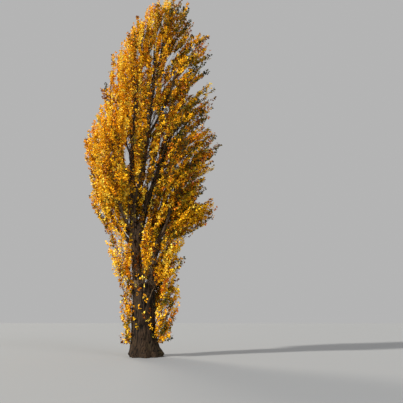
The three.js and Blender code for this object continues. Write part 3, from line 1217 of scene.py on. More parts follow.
@dataclass
class TrunkSkin(LimbSkin):
    """The trunk's mesh, which follows the frame's uneven rings and closes in a dome under the fork."""

    dome_from: float = 2.85
    dome_height: float = 0.75
    columns: int = 72
    toes: tuple[Triple, ...] = (
        (-2.9, 0.30, 0.16), (-2.2, 0.24, 0.26), (-1.45, 0.26, 0.20),
        (-0.75, 0.22, 0.24), (-0.05, 0.28, 0.28), (0.75, 0.24, 0.18),
        (1.4, 0.22, 0.25), (2.1, 0.26, 0.20), (2.75, 0.20, 0.24),
    )

    def line(self, share: Array) -> Array:
        """The centre line's points, with even heights."""
        heights = share * (self.dome_from + self.dome_height)
        centres = self.limb.centres
        middle = [np.interp(heights, centres[:, 2], centres[:, k]) for k in range(2)]
        return np.stack([*middle, heights], axis=1)

    def radius_at(self, turn: Array, share: Array, place: Array) -> Array:
        """The radius in the frame's rings, rounded between their corners."""
        rings = self.skeleton.rings
        levels = np.array([ring[0, 2] for ring in rings])
        grid = []
        even = np.linspace(-math.pi, math.pi, self.columns + 1)
        for ring in rings:
            offset = ring - ring.mean(0)
            at = np.arctan2(offset[:, 1], offset[:, 0])
            out = np.linalg.norm(offset[:, :2], axis=1)
            grid.append(np.interp(even, at, out, period=2 * math.pi))
        grid = np.array(grid)
        for _ in range(2):
            body = (np.roll(grid[:, :-1], 1, 1) + 2 * grid[:, :-1] + np.roll(grid[:, :-1], -1, 1)) / 4
            grid = np.concatenate([body, body[:, :1]], axis=1)
        row = np.interp(place[:, 2], levels, np.arange(len(levels)))
        low = np.minimum(row.astype(int), len(levels) - 2)
        column = (turn + math.pi) / (2 * math.pi) * self.columns
        left = np.minimum(column.astype(int), self.columns - 1)
        across, up = column - left, row - low
        lower = grid[low, left] * (1 - across) + grid[low, left + 1] * across
        upper = grid[low + 1, left] * (1 - across) + grid[low + 1, left + 1] * across
        dome = np.clip((place[:, 2] - self.dome_from) / self.dome_height, 0, 1)
        radius = (lower * (1 - up) + upper * up) * np.sqrt(np.maximum(1 - dome**2, 0.0025))
        return radius + self._toes(turn, place[:, 2])

    def _toes(self, turn: Array, height: Array) -> Array:
        """How far the roots stand out where they enter the ground."""
        out = np.zeros(len(turn))
        for at, width, reach in self.toes:
            away = (turn - at + math.pi) % (2 * math.pi) - math.pi
            out = np.maximum(out, reach * np.exp(-((away / width) ** 2)) * np.exp(-height / (reach * 1.3)))
        return out

    def settle(self, shape: Array, centre: Array) -> Array:
        """Keeps the foot flat on the ground."""
        shape[:, 2] = np.maximum(centre[:, 2], 0.0)
        return shape


@dataclass
class Timber:
    """The trunk, stems and boughs, each a piece of its own."""

    skeleton: Skeleton
    trunk_sides: int = 224
    stem_side: float = 0.019
    bough_side: float = 0.022

    def build(self) -> None:
        """Builds every limb and hands it in."""
        finishes = {"trunk": OldBark(), "stem": STEM_BARK, "bough": YoungBark()}
        finishes = {kind: finish.material() for kind, finish in finishes.items()}
        for order, limb in enumerate(self.skeleton.limbs.values()):
            skin = self._skin(limb, order)
            piece = skin.build()
            piece.data.materials.clear()
            piece.data.materials.append(finishes[limb.name.split("_")[0]])
            hand_in(piece, [limb.name])

    def _skin(self, limb: Limb, order: int) -> LimbSkin:
        """Chooses how fine a limb's mesh is and how deep its bark.

        Args:
            limb: The limb.
            order: Its place among the limbs, for its pattern.

        Returns:
            The maker of its mesh.
        """
        seed = 100 + 10 * order
        thick = float(limb.radii.max())
        if limb.name == "trunk":
            relief = BarkRelief(
                spacing=0.068, stretch=7.0, depth=0.036, swelling=0.02, swelling_length=0.7, seed=seed
            )
            return TrunkSkin(
                limb, self.skeleton, self.trunk_sides, row_height=0.036, relief=relief, collar=0.42
            )
        if limb.name.startswith("stem"):
            relief = BarkRelief(
                spacing=0.07, stretch=6.0, depth=min(0.026, thick * 0.1),
                swelling=thick * 0.035, swelling_length=0.5, seed=seed,
            )
            sides = max(20, round(2 * math.pi * thick / self.stem_side))
            return LimbSkin(limb, self.skeleton, sides, row_height=0.055, relief=relief, collar=0.3)
        relief = BarkRelief(
            spacing=0.06, stretch=5.0, depth=thick * 0.07,
            swelling=thick * 0.06, swelling_length=0.35, seed=seed,
        )
        sides = max(14, round(2 * math.pi * thick / self.bough_side))
        return LimbSkin(limb, self.skeleton, sides, row_height=0.05, relief=relief, collar=0.16)


# Growth


@dataclass
class Shoots:
    """Many curved shoots of one kind, with the same number of points each.

    Attributes:
        paths: Shoots by points by 3.
        radii: The radius at each point.
        family: The number of the spray that each one belongs to.
    """

    paths: Array
    radii: Array
    family: Array

    def lengths(self) -> Array:
        """The length of each shoot."""
        return np.linalg.norm(np.diff(self.paths, axis=1), axis=2).sum(1)

    def at(self, number: Array, share: Array) -> tuple[Array, Array, Array, Array]:
        """Places along shoots.

        Args:
            number: Which shoot each place is on.
            share: How far along it each place is, from 0 to 1.

        Returns:
            The points, the headings and two side directions there.
        """
        steps = self.paths.shape[1] - 1
        row = np.clip(share, 0, 1) * steps
        low = np.minimum(row.astype(int), steps - 1)
        part = (row - low)[:, None]
        heading, side, other = frames_along(self.paths)
        point = self.paths[number, low] * (1 - part) + self.paths[number, low + 1] * part
        return point, heading[number, low], side[number, low], other[number, low]


def numbered(counts: Array) -> tuple[Array, Array]:
    """The shoot that each small thing is on and its place in the row there, from how many each shoot has."""
    return np.repeat(np.arange(len(counts)), counts), np.concatenate([np.arange(n) for n in counts])


def joined(sets: list[Shoots]) -> Shoots:
    """Several sets of shoots as one.

    Args:
        sets: Sets whose shoots have the same number of points.

    Returns:
        All of them.
    """
    return Shoots(
        np.concatenate([one.paths for one in sets]),
        np.concatenate([one.radii for one in sets]),
        np.concatenate([one.family for one in sets]),
    )


@dataclass(frozen=True)
class Habit:
    """How one order of branches grows.

    Attributes:
        band: The lowest and highest tip.
        spacing: The least distance between two tips, across.
        flatten: How much closer together tips may be when one stands above the other.
        inset: How far inside the crown a tip stays.
        core: The share of the way out below which tips are rare.
        rise: The height that a branch gains when it goes straight up.
        rise_across: The height that it gains more for each metre that it goes across.
        longest: The longest branch.
        room_share: How thick it may be beside what bears it.
        thickness: Its radius at the foot, and how much more for each metre of length.
        points: How many points it has.
        wander: How much it wanders.
    """

    band: tuple[float, float]
    spacing: float
    flatten: float
    inset: float
    core: float
    rise: float
    rise_across: float
    longest: float
    room_share: float
    thickness: tuple[float, float]
    points: int
    wander: float


RODS = Habit(
    band=(3.0, 21.0), spacing=0.66, flatten=0.26, inset=0.35, core=0.2, rise=2.6, rise_across=1.3,
    longest=6.0, room_share=0.7, thickness=(0.013, 0.007), points=14, wander=0.006,
)
SKIRTS = Habit(
    band=(0.6, 8.6), spacing=0.19, flatten=0.45, inset=0.0, core=0.1, rise=0.7, rise_across=0.9,
    longest=2.2, room_share=0.6, thickness=(0.006, 0.006), points=7, wander=0.012,
)
PLUMES = Habit(
    band=(7.2, 22.0), spacing=0.255, flatten=0.26, inset=0.04, core=0.42, rise=1.4, rise_across=1.0,
    longest=3.4, room_share=0.75, thickness=(0.006, 0.006), points=7, wander=0.010,
)


@dataclass(frozen=True)
class LeaderHabit:
    """How a leader grows up through a mass of foliage, from a limb's tip or from the wood below."""

    points: int = 16
    near_tip: float = 0.7
    overlap: float = 0.06
    onward: float = 0.3
    look_below: float = 0.5
    lowest_look: float = 0.4
    lowest_foot: float = 0.3
    thickest: float = 0.035
    share_of_wood: float = 0.3
    bend_to_foot: float = 0.45
    clear_of_bend: float = 0.35
    taper: float = 0.85
    thinnest: float = 0.006


@dataclass(frozen=True)
class BranchHabit:
    """What a branch's start costs, for the cheapest one is taken, and how the branch curves and tapers."""

    aside_cost: float = 1.3
    length_cost: float = 0.4
    least_rise: float = 0.3
    barred_cost: float = 50.0
    thin_share: float = 0.6
    thin_cost: float = 0.5
    most_cost: float = 20.0
    keeps_way: float = 0.6
    start_chance: float = 0.05
    end_fanned: float = 0.8
    end_straight: float = 0.5
    end_chance: float = 0.06
    pull: float = 0.36
    taper: float = 0.8
    thinnest: float = 0.0035


@dataclass
class Bearers:
    """The places on the wood that a branch can start from."""

    points: Array = field(default_factory=lambda: np.zeros((0, 3)))
    headings: Array = field(default_factory=lambda: np.zeros((0, 3)))
    room: Array = field(default_factory=lambda: np.zeros(0))
    owner: Array = field(default_factory=lambda: np.zeros(0, dtype=int))

    def offer(self, points: Array, headings: Array, room: Array, owner: int = -1) -> None:
        """Adds places.

        Args:
            points: The places.
            headings: The way the wood grows there.
            room: How thick it is there.
            owner: The number of the plume that they are on, or -1 on thicker wood.
        """
        self.points = np.vstack([self.points, points])
        self.headings = np.vstack([self.headings, headings])
        self.room = np.concatenate([self.room, room])
        self.owner = np.concatenate([self.owner, np.full(len(room), owner)])


@dataclass
class Branching:
    """Grows the branches: steep, and fanned out from the fork, as a columnar poplar does.

    Attributes:
        box: The corners of the space that tips are looked for in.
        tries: How many places are looked at.
        lean: How far branches lean out to the front and back, for each metre out.
        leader: How leaders grow.
        branch: How all other branches do.
        bearer_step: The distance between the places on the wood that a branch can start from.
        choices: How many places are tried for a branch.
        stray: How far a branch may stray out of the crown.
        full_top: The heights between which the crown's core fills up with tips.
        hollow_from: The heights between which its core empties, above the fork.
        within: The share of tips that stay in the core.
        off_wood: How far tips stay from the wood of the limbs.
        off_gap: How far tips stay out of a gap.
        bearers: The places that a branch can start from.
        parents: The number of the plume that bears each plume, -1 on thicker wood.
    """

    skeleton: Skeleton
    crown: Crown
    eye: Eye
    rng: np.random.Generator
    box: tuple[Triple, Triple] = ((-4.1, -3.3, 0.45), (4.1, 3.4, 21.8))
    tries: int = 100000
    lean: float = 0.13
    leader: LeaderHabit = LeaderHabit()
    branch: BranchHabit = BranchHabit()
    bearer_step: float = 0.22
    choices: int = 6
    stray: float = 0.12
    full_top: tuple[float, float] = (17.0, 19.5)
    hollow_from: tuple[float, float] = (6.5, 10.5)
    within: float = 0.16
    off_wood: float = 0.12
    off_gap: float = 0.1
    bearers: Bearers = field(default_factory=Bearers)
    parents: list[int] = field(default_factory=list)

    def fan(self, points: Array) -> Array:
        """The way that branches point in each place."""
        across = FAN.slope(points[:, 0], points[:, 2])
        return unit(np.stack([across, self.lean * points[:, 1], np.ones(len(points))], axis=1))

    def grow(self) -> tuple[Shoots, Shoots, Shoots]:
        """Grows all branches.

        Returns:
            The leaders, the rods and the plumes.
        """
        self._offer_limbs()
        found = [self._leader(mass) for mass in self.crown.masses]
        paths, radii = (np.array(part) for part in zip(*found))
        leaders = Shoots(paths, radii, np.arange(len(found)))
        for path, radius in found:
            self._offer_path(path, radius)
        rods = self._grow_all(RODS, [])
        plumes = joined([self._grow_all(habit, self.parents) for habit in (SKIRTS, PLUMES)])
        plumes.family = np.arange(len(plumes.paths))
        log.info("%d leaders, %d rods, %d plumes", len(found), len(rods.paths), len(plumes.paths))
        return leaders, rods, plumes

    def _offer_limbs(self) -> None:
        """Offers the bark of all limbs, all round where they are thick."""
        for limb in self.skeleton.limbs.values():
            length = np.linalg.norm(np.diff(limb.centres, axis=0), axis=1).sum()
            steps = max(4, int(length / self.bearer_step))
            centre = smooth_line(limb.centres, steps)
            radius = np.interp(np.linspace(0, 1, steps), np.linspace(0, 1, len(limb.radii)), limb.radii)
            heading = unit(np.gradient(centre, axis=0))
            sides = 12 if limb.name == "trunk" else (6 if radius.max() > 0.12 else 3)
            low = 0.4 if limb.name == "trunk" else float(limb.centres[0, 2]) + 0.35
            keep = centre[:, 2] > low
            for turn in np.arange(sides) * 2 * math.pi / sides:
                out = np.array([math.cos(turn), math.sin(turn), 0.0])
                points = centre + out * (radius * 0.8)[:, None]
                self.bearers.offer(points[keep], unit(heading + out * 0.35)[keep], radius[keep])

    def _offer_path(self, path: Array, radius: Array, owner: int = -1) -> None:
        """Offers a branch, but for its foot and tip."""
        steps = max(5, int(np.linalg.norm(np.diff(path, axis=0), axis=1).sum() / self.bearer_step))
        fine = smooth_line(path, steps)
        thick = np.interp(np.linspace(0, 1, steps), np.linspace(0, 1, len(radius)), radius)
        first, last = max(1, steps // 6), max(2, steps - steps // 6)
        heading = unit(np.gradient(fine, axis=0))
        self.bearers.offer(fine[first:last], heading[first:last], thick[first:last], owner)

    def _leader(self, mass: Mass) -> tuple[Array, Array]:
        """The limb's own line carried on up through a mass.

        Args:
            mass: The mass.

        Returns:
            The leader's points and radii.
        """
        habit = self.leader
        foot = mass.axis[0]
        bearer = min(self.skeleton.limbs.values(), key=lambda limb: np.linalg.norm(limb.tip - foot))
        if np.linalg.norm(bearer.tip - foot) < habit.near_tip:
            way = unit(bearer.centres[-1] - bearer.centres[-2])
            start, thick = bearer.tip - way * habit.overlap, float(bearer.radii[-1])
            knots = [start, bearer.tip + way * habit.onward]
        else:
            lower = foot - UP * habit.look_below
            lower[2] = max(lower[2], habit.lowest_look)
            start, radius = self.skeleton.nearest_wood(lower)
            start[2] = max(start[2], habit.lowest_foot)
            thick = min(habit.thickest, radius * habit.share_of_wood)
            second = mass.axis[min(1, len(mass.axis) - 1)]
            knots = [start, start * habit.bend_to_foot + second * (1 - habit.bend_to_foot)]
        rest = mass.axis[mass.axis[:, 2] > knots[-1][2] + habit.clear_of_bend][::2]
        knots = np.vstack([*knots, *rest, mass.axis[-1]])
        line = smooth_line(knots, habit.points)
        share = np.linspace(0, 1, habit.points)
        return line, np.maximum(thick * (1 - share) ** habit.taper, habit.thinnest)

    def _tips(self, habit: Habit) -> Array:
        """Places for branch tips, spread evenly and closer towards the crown's outline.

        Args:
            habit: How the branches grow.

        Returns:
            The tips, the inner ones first.
        """
        low, high = (np.array(corner) for corner in self.box)
        tried = low + self.rng.random((self.tries, 3)) * (high - low)
        tried = tried[(tried[:, 2] > habit.band[0]) & (tried[:, 2] < habit.band[1])]
        tried = tried[self.crown.beyond(tried) < -habit.inset]
        out = np.maximum(self.crown.outness(tried), ease(tried[:, 2], *self.full_top))
        core = habit.core * ease(tried[:, 2], *self.hollow_from)
        wanted = self.within + (1 - self.within) * ease(out - core, 0.0, 0.3)
        tried = tried[self.rng.random(len(tried)) < wanted]
        seen = self.eye.on_plane(tried)
        clear = self.skeleton.clear(tried) > self.off_wood
        for gap in SKY_GAPS + NOTCHES:
            clear &= ~gap.holds(seen, self.off_gap)
        tried = tried[clear]
        kept = np.full((len(tried), 3), FAR)
        count = 0
        squeeze = np.array([1.0, 1.0, habit.flatten])
        for point in tried:
            if np.linalg.norm((kept[:max(count, 1)] - point) * squeeze, axis=1).min() > habit.spacing:
                kept[count] = point
                count += 1
        kept = kept[:count]
        return kept[np.argsort(self.crown.outness(kept))]

    def _grow_all(self, habit: Habit, parents: list[int]) -> Shoots:
        """Grows a branch to each tip, from the wood or from a branch before.

        Args:
            habit: How the branches grow.
            parents: Takes the number of the plume that bears each new one, -1 for thicker wood.

        Returns:
            The branches.
        """
        paths, radii = [], []
        for tip, arrive in [(tip, self.fan(tip[None])[0]) for tip in self._tips(habit)]:
            found = self._branch(habit, tip, arrive)
            if found is not None:
                path, radius, parent = found
                paths.append(path)
                radii.append(radius)
                self._offer_path(path, radius, len(parents) if parents is self.parents else -1)
                parents.append(parent)
        return Shoots(np.array(paths), np.array(radii), np.arange(len(paths)))

    def _branch(self, habit: Habit, tip: Array, fan: Array) -> tuple[Array, Array, int] | None:
        """One branch to a tip.

        Args:
            habit: How it grows.
            tip: Where it ends.
            fan: The way that branches point there.

        Returns:
            Its points, its radii and the plume that bears it, or nothing where no wood is near.
        """
        offset = tip - self.bearers.points
        length = np.linalg.norm(offset, axis=1)
        rise = offset[:, 2]
        across = np.linalg.norm(offset - fan * (offset @ fan)[:, None], axis=1)
        rule = self.branch
        off_length = np.abs(length - habit.rise - habit.rise_across * across)
        cost = across * rule.aside_cost + rule.length_cost * off_length
        cost += np.where((rise < rule.least_rise) | (length > habit.longest), rule.barred_cost, 0.0)
        too_thin = self.bearers.room < habit.thickness[0] * rule.thin_share
        cost += np.where(too_thin, rule.thin_cost, 0.0)
        for best in np.argsort(cost)[:self.choices]:
            if cost[best] > rule.most_cost:
                return None
            path = self._path(habit, int(best), tip, fan)
            seen = self.eye.on_plane(path)
            crosses = any(notch.holds(seen, 0.0).any() for notch in NOTCHES)
            if not crosses and (self.crown.beyond(path[habit.points // 2:]) < self.stray).all():
                break
        else:
            return None
        room = float(self.bearers.room[best]) * habit.room_share
        base = min(room, habit.thickness[0] + habit.thickness[1] * float(length[best]))
        taper = (1 - np.linspace(0, 1, habit.points)) ** rule.taper
        radius = np.maximum(base * taper, rule.thinnest)
        return path, radius, int(self.bearers.owner[best])

    def _path(self, habit: Habit, bearer: int, tip: Array, fan: Array) -> Array:
        """The line of one branch.

        Args:
            habit: How it grows.
            bearer: The number of the place that it starts from.
            tip: Where it ends.
            fan: The way that branches point there.

        Returns:
            Its points.
        """
        start, head = self.bearers.points[bearer], self.bearers.headings[bearer]
        size = float(np.linalg.norm(tip - start))
        straight = unit(tip - start)
        rule = self.branch
        leave = unit(head * rule.keeps_way + straight + self.rng.normal(0, rule.start_chance, 3))
        arrive = fan * rule.end_fanned + straight * rule.end_straight
        arrive = unit(arrive + self.rng.normal(0, rule.end_chance, 3))
        corners = [start, start + leave * size * rule.pull, tip - arrive * size * rule.pull, tip]
        path = bezier([corner[None] for corner in corners], habit.points)[0]
        path[1:-1] += self.rng.normal(0, habit.wander, (habit.points - 2, 3)) * size
        return path


@dataclass(frozen=True)
class TwigHabit:
    """How twigs stand on what bears them, with angles in degrees and the rest as shares or metres."""

    turn_chance: float = 0.35
    opening: tuple[float, float] = (30, 60)
    closing: float = 18
    lift: float = 0.12
    size_at_foot: float = 1.2
    size_lost: float = 0.5
    bends_to: float = 0.5
    bend: float = 0.5
    radius: float = 0.003
    radius_more: float = 0.005
    tip_share: float = 0.35


@dataclass
class Twigging:
    """Grows twigs from the branches.

    Attributes:
        habit: How they stand.
        step: The distance between twigs along a plume.
        further: How much further apart they are along a rod and along a leader.
        bare: The share of a plume, of a rod and of a leader that is bare at its foot.
        low_down: How many more twigs the plumes about the trunk have, as a share.
        length: The shortest and longest twig.
        twig_points: How many points a twig has.
        slack: How far twigs may reach out of the crown on most plumes, and on a few ragged ones.
        ragged: The share of plumes that are ragged.
        window: How wide the view of a limb is kept partly open, beside the limb's own width.
        shown: The share of twigs kept in front of a limb, seen from the photograph's side and from others.
        more_shown: How many more are kept high up, seen from the photograph's side.
        bough_shown: The share of twigs kept in front of a bough, in the left half and in the right.
        rod_window: How wide the view of a rod is kept partly open, beside the rod's own width.
        rod_shown: The share of twigs kept in front of a rod, in the crown's right half and in its left.
        rod_depth: Rods that stand further back than this are left hidden.
        gap_margin: How far twigs stay out of a gap.
        off_wood: How far a twig's tip stays from the wood of the limbs.
        lowest: The height below which no twig grows.
        leafy: The share of its twigs that a plume has to keep to stay.
        veils: Where sky and branches glint through the leaves.
    """

    skeleton: Skeleton
    crown: Crown
    eye: Eye
    rng: np.random.Generator
    habit: TwigHabit = TwigHabit()
    step: float = 0.066
    further: tuple[float, float] = (1.6, 1.3)
    bare: tuple[float, float, float] = (0.22, 0.4, 0.25)
    low_down: float = 0.55
    length: tuple[float, float] = (0.03, 0.14)
    twig_points: int = 2
    slack: tuple[float, float] = (0.05, 0.26)
    ragged: float = 0.3
    window: float = 0.05
    shown: tuple[float, float] = (0.09, 0.5)
    more_shown: float = 0.04
    bough_shown: tuple[float, float] = (0.9, 0.5)
    rod_window: float = 0.022
    rod_shown: tuple[float, float] = (0.15, 0.45)
    rod_depth: float = -0.3
    gap_margin: float = 0.04
    off_wood: float = 0.03
    lowest: float = 0.3
    leafy: float = 0.25
    veils: tuple[Veil, ...] = VEILS

    def grow(self, leaders: Shoots, rods: Shoots, plumes: Shoots,
             parents: list[int]) -> tuple[Shoots, Shoots]:
        """Grows the twigs.

        Args:
            leaders: The leaders.
            rods: The rods.
            plumes: The plumes.
            parents: The plume that bears each plume, or -1.

        Returns:
            The plumes that keep enough twigs, and the twigs that have room.
        """
        first = len(plumes.paths)
        sets = [
            self._on(plumes, self.bare[0], self.step, 0),
            self._on(rods, self.bare[1], self.step * self.further[0], first),
            self._on(leaders, self.bare[2], self.step * self.further[1], first + len(rods.paths)),
        ]
        twigs = joined(sets)
        keep = self._has_room(twigs, rods)
        kept = np.bincount(twigs.family[keep], minlength=first)[:first]
        alive = kept > self.leafy * np.bincount(twigs.family, minlength=first)[:first]
        for plume in range(first - 1, -1, -1):
            if alive[plume] and parents[plume] >= 0:
                alive[parents[plume]] = True
        on_plume = twigs.family < first
        keep &= ~on_plume | alive[np.minimum(twigs.family, first - 1)]
        log.info("%d of %d twigs and %d of %d plumes stay", keep.sum(), len(keep), alive.sum(), first)
        stay = Shoots(plumes.paths[alive], plumes.radii[alive], plumes.family[alive])
        return stay, Shoots(twigs.paths[keep], twigs.radii[keep], twigs.family[keep])

    def _on(self, shoots: Shoots, start: float, step: float, first: int) -> Shoots:
        """Twigs along shoots, each turned the golden angle from the one before.

        Args:
            shoots: What they grow from.
            start: The share of a shoot that stays bare.
            step: The distance between two twigs.
            first: The number that their families start at.

        Returns:
            The twigs.
        """
        rng = self.rng
        habit = self.habit
        closer = 1 + self.low_down * ease(5.5 - shoots.paths[:, -1, 2], 0.0, 2.5)
        counts = np.maximum(3, np.round(shoots.lengths() * (1 - start) * closer / step)).astype(int)
        number, order = numbered(counts)
        share = start + (1 - start) * (order + rng.uniform(0.1, 0.9, len(order))) / counts[number]
        point, heading, side, other = shoots.at(number, share)
        turn = order * GOLDEN_ANGLE + rng.uniform(0, 2 * math.pi, len(counts))[number]
        turn += rng.normal(0, habit.turn_chance, len(order))
        aside = around(turn, side, other)
        open_ = np.radians(rng.uniform(*habit.opening, len(order)) - habit.closing * share)[:, None]
        way = unit(np.cos(open_) * heading + np.sin(open_) * aside + UP * habit.lift)
        span = rng.uniform(*self.length, len(order)) * (habit.size_at_foot - habit.size_lost * share)
        bend = unit(way + heading * habit.bends_to)
        knots = np.linspace(0, 1, self.twig_points)[None, :, None]
        path = point[:, None] + way[:, None] * knots * span[:, None, None]
        path += (bend - way)[:, None] * knots**2 * span[:, None, None] * habit.bend
        taper = np.linspace(1.0, habit.tip_share, self.twig_points)[None]
        radii = (habit.radius + habit.radius_more * span)[:, None] * taper
        return Shoots(path, radii, number + first)

    def _has_room(self, twigs: Shoots, rods: Shoots) -> Array:
        """Which twigs stay: in the crown, out of the wood and the gaps, and not too many before a limb."""
        rng = self.rng
        tip, middle = twigs.paths[:, -1], twigs.paths.mean(1)
        wild = (rng.random(twigs.family.max() + 1) < self.ragged)[twigs.family]
        give = np.where(wild, self.slack[1], self.slack[0]) + rng.normal(0, 0.03, len(tip))
        keep = (self.crown.beyond(tip) < give) & (self.skeleton.clear(tip) > self.off_wood)
        keep &= middle[:, 2] > self.lowest
        for points in (tip, middle):
            seen = self.eye.on_plane(points)
            for gap in SKY_GAPS + NOTCHES:
                keep &= ~gap.holds(seen, self.gap_margin)
        for veil in self.veils:
            keep &= ~veil.thins(self.eye.on_plane(middle), rng)
        boughs = [limb for limb in self.skeleton.limbs.values() if limb.name.startswith("bough")]
        stems = [limb for limb in self.skeleton.limbs.values() if not limb.name.startswith("bough")]
        wands = [Limb("rod", path, radius) for path, radius in zip(rods.paths, rods.radii)]
        for quarter in range(4):
            turn = quarter * math.pi / 2
            shown = self.shown[1]
            if quarter == 0:
                shown = self.shown[0] + self.more_shown * ease(middle[:, 2], 5.5, 7.5)
            keep &= ~(self._before(stems, middle, turn, self.window) & (rng.random(len(tip)) > shown))
            cover = np.where(middle[:, 0] < 0, self.bough_shown[0], self.bough_shown[1])
            keep &= ~(self._before(boughs, middle, turn, 0.0) & (rng.random(len(tip)) > cover))
            near = [wand for wand in wands if about_z(wand.centres, -turn)[:, 1].mean() < self.rod_depth]
            shown = np.where(middle[:, 0] > -0.1, self.rod_shown[0], self.rod_shown[1])
            keep &= ~(self._before(near, middle, turn, self.rod_window) & (rng.random(len(tip)) > shown))
        return keep

    def _before(self, limbs: list[Limb], points: Array, turn: float, window: float) -> Array:
        """Which points hide a limb.

        Args:
            limbs: The limbs.
            points: The points.
            turn: How far round the tree the looker has walked.
            window: How far beside a limb counts too.

        Returns:
            True for each point in front of a limb.
        """
        points = about_z(points, -turn)
        seen = self.eye.on_plane(points)
        flat = upright(seen)
        hides = np.zeros(len(points), dtype=bool)
        for limb in limbs:
            centres = about_z(limb.centres, -turn)
            line = self.eye.on_plane(centres)
            drawn = Limb(limb.name, upright(line), limb.radii)
            edge = float(limb.radii.max()) + window
            near = (seen > line.min(0) - edge).all(1) & (seen < line.max(0) + edge).all(1)
            if not near.any():
                continue
            place, away, radius = drawn.nearest(flat[near])
            depth = np.interp(place[:, 2], line[:, 1], centres[:, 1])
            hides[near] |= (away < radius + window) & (points[near, 1] < depth - 0.05)
        return hides


@dataclass
class BarkShoots:
    """Short leafy shoots straight from the bark of the trunk and the lower stems.

    Attributes:
        on_trunk: How many grow on the trunk.
        on_stem: How many grow on each metre of a stem.
        stem_top: The height up to which stems have them.
        length: The shortest and longest.
        twig_points: How many points each has.
    """

    skeleton: Skeleton
    rng: np.random.Generator
    on_trunk: int = 55
    on_stem: float = 15.0
    stem_top: float = 12.0
    length: tuple[float, float] = (0.05, 0.2)
    twig_points: int = 2

    def grow(self, first: int) -> Shoots:
        """Grows the shoots.

        Args:
            first: The number that their families start at.

        Returns:
            The shoots.
        """
        paths = [self._round(self.skeleton.limbs["trunk"], 0.35, 3.4, self.on_trunk)]
        for limb in self.skeleton.limbs.values():
            if limb.name.startswith("stem") and limb.centres[0, 2] < self.stem_top - 1.0:
                top = min(self.stem_top, float(limb.tip[2]))
                low = float(limb.centres[0, 2]) + 0.3
                paths.append(self._round(limb, low, top, int((top - low) * self.on_stem)))
        path = np.concatenate(paths)
        span = np.linalg.norm(path[:, -1] - path[:, 0], axis=1)
        radii = (0.003 + 0.004 * span)[:, None] * np.linspace(1, 0.4, self.twig_points)[None]
        return Shoots(path, radii, first + np.arange(len(path)))

    def _round(self, limb: Limb, low: float, high: float, count: int) -> Array:
        """Shoots round one limb between two heights.

        Args:
            limb: The limb.
            low: The lowest foot.
            high: The highest foot.
            count: How many.

        Returns:
            Their points.
        """
        rng = self.rng
        height = rng.uniform(low, high, count)
        levels = limb.centres[:, 2]
        centre = np.stack([np.interp(height, levels, limb.centres[:, k]) for k in range(3)], axis=1)
        radius = np.interp(height, levels, limb.radii)
        turn = rng.uniform(0, 2 * math.pi, count)
        out = np.stack([np.cos(turn), np.sin(turn), np.zeros(count)], axis=1)
        start = centre + out * (radius * 0.9)[:, None]
        span = rng.uniform(*self.length, count)[:, None, None]
        way = unit(out + UP * rng.uniform(0.5, 1.6, count)[:, None] + rng.normal(0, 0.2, (count, 3)))
        start = start + way * (radius * 0.1)[:, None]
        knots = np.linspace(0, 1, self.twig_points)[None, :, None]
        path = start[:, None] + way[:, None] * knots * span
        return path + UP * knots**2 * span * 0.25


@dataclass(frozen=True)
class LeafShape:
    """A poplar leaf: a broad blade that narrows to a point, folded along its midrib, on a thin stalk."""

    length: float = 0.112
    width: float = 0.104
    stalk: float = 0.035
    stalk_half_width: float = 0.0018
    shoulder: tuple[float, float] = (0.22, 0.5)
    waist: tuple[float, float] = (0.58, 0.33)
    fold: float = 0.3
    droop: float = 0.16

    def lay(self, foot: Array, stalk_way: Array, blade_way: Array, face: Array,
            size: Array) -> tuple[Array, Array]:
        """Lays leaves, many at once.

        Args:
            foot: Where each stalk starts.
            stalk_way: The stalk's direction.
            blade_way: The blade's direction.
            face: The direction that the blade faces.
            size: Each leaf's size as a share.

        Returns:
            The vertices and the triangles.
        """
        size = size[:, None]
        side = unit(np.cross(blade_way, face))
        face = np.cross(side, blade_way)
        neck = foot + stalk_way * self.stalk * size
        blade, wide = blade_way * self.length * size, side * self.width * size
        lift = face * self.width * size
        half = side * self.stalk_half_width
        corners = [foot - half, foot + half, neck]
        for along, across in (self.shoulder, self.waist):
            corners.append(neck + blade * along + wide * across + lift * across * self.fold)
        corners.append(neck + blade - lift * self.droop)
        for along, across in (self.waist, self.shoulder):
            corners.append(neck + blade * along - wide * across + lift * across * self.fold)
        vertices = np.stack(corners, axis=1)
        one = np.array([[0, 1, 2], [2, 3, 4], [2, 4, 5], [2, 5, 6], [2, 6, 7]])
        triangles = one[None] + (np.arange(len(foot)) * vertices.shape[1])[:, None, None]
        return vertices.reshape(-1, 3), triangles.reshape(-1, 3)


@dataclass(frozen=True)
class LeafHabit:
    """How leaves stand on a twig, from how their stalks leave it to how their blades hang and face."""

    turn_chance: float = 0.3
    forward: float = 0.7
    lift: float = 0.1
    hang: tuple[float, float] = (0.1, 0.9)
    off_stalk: float = 0.6
    down: float = 0.75
    blade_chance: float = 0.28
    face_aside: float = 0.5
    face_up: float = 0.55
    face_chance: float = 0.75
    size: tuple[float, float] = (0.78, 1.16)
    roughness: float = 0.7
    gloss: float = 0.12


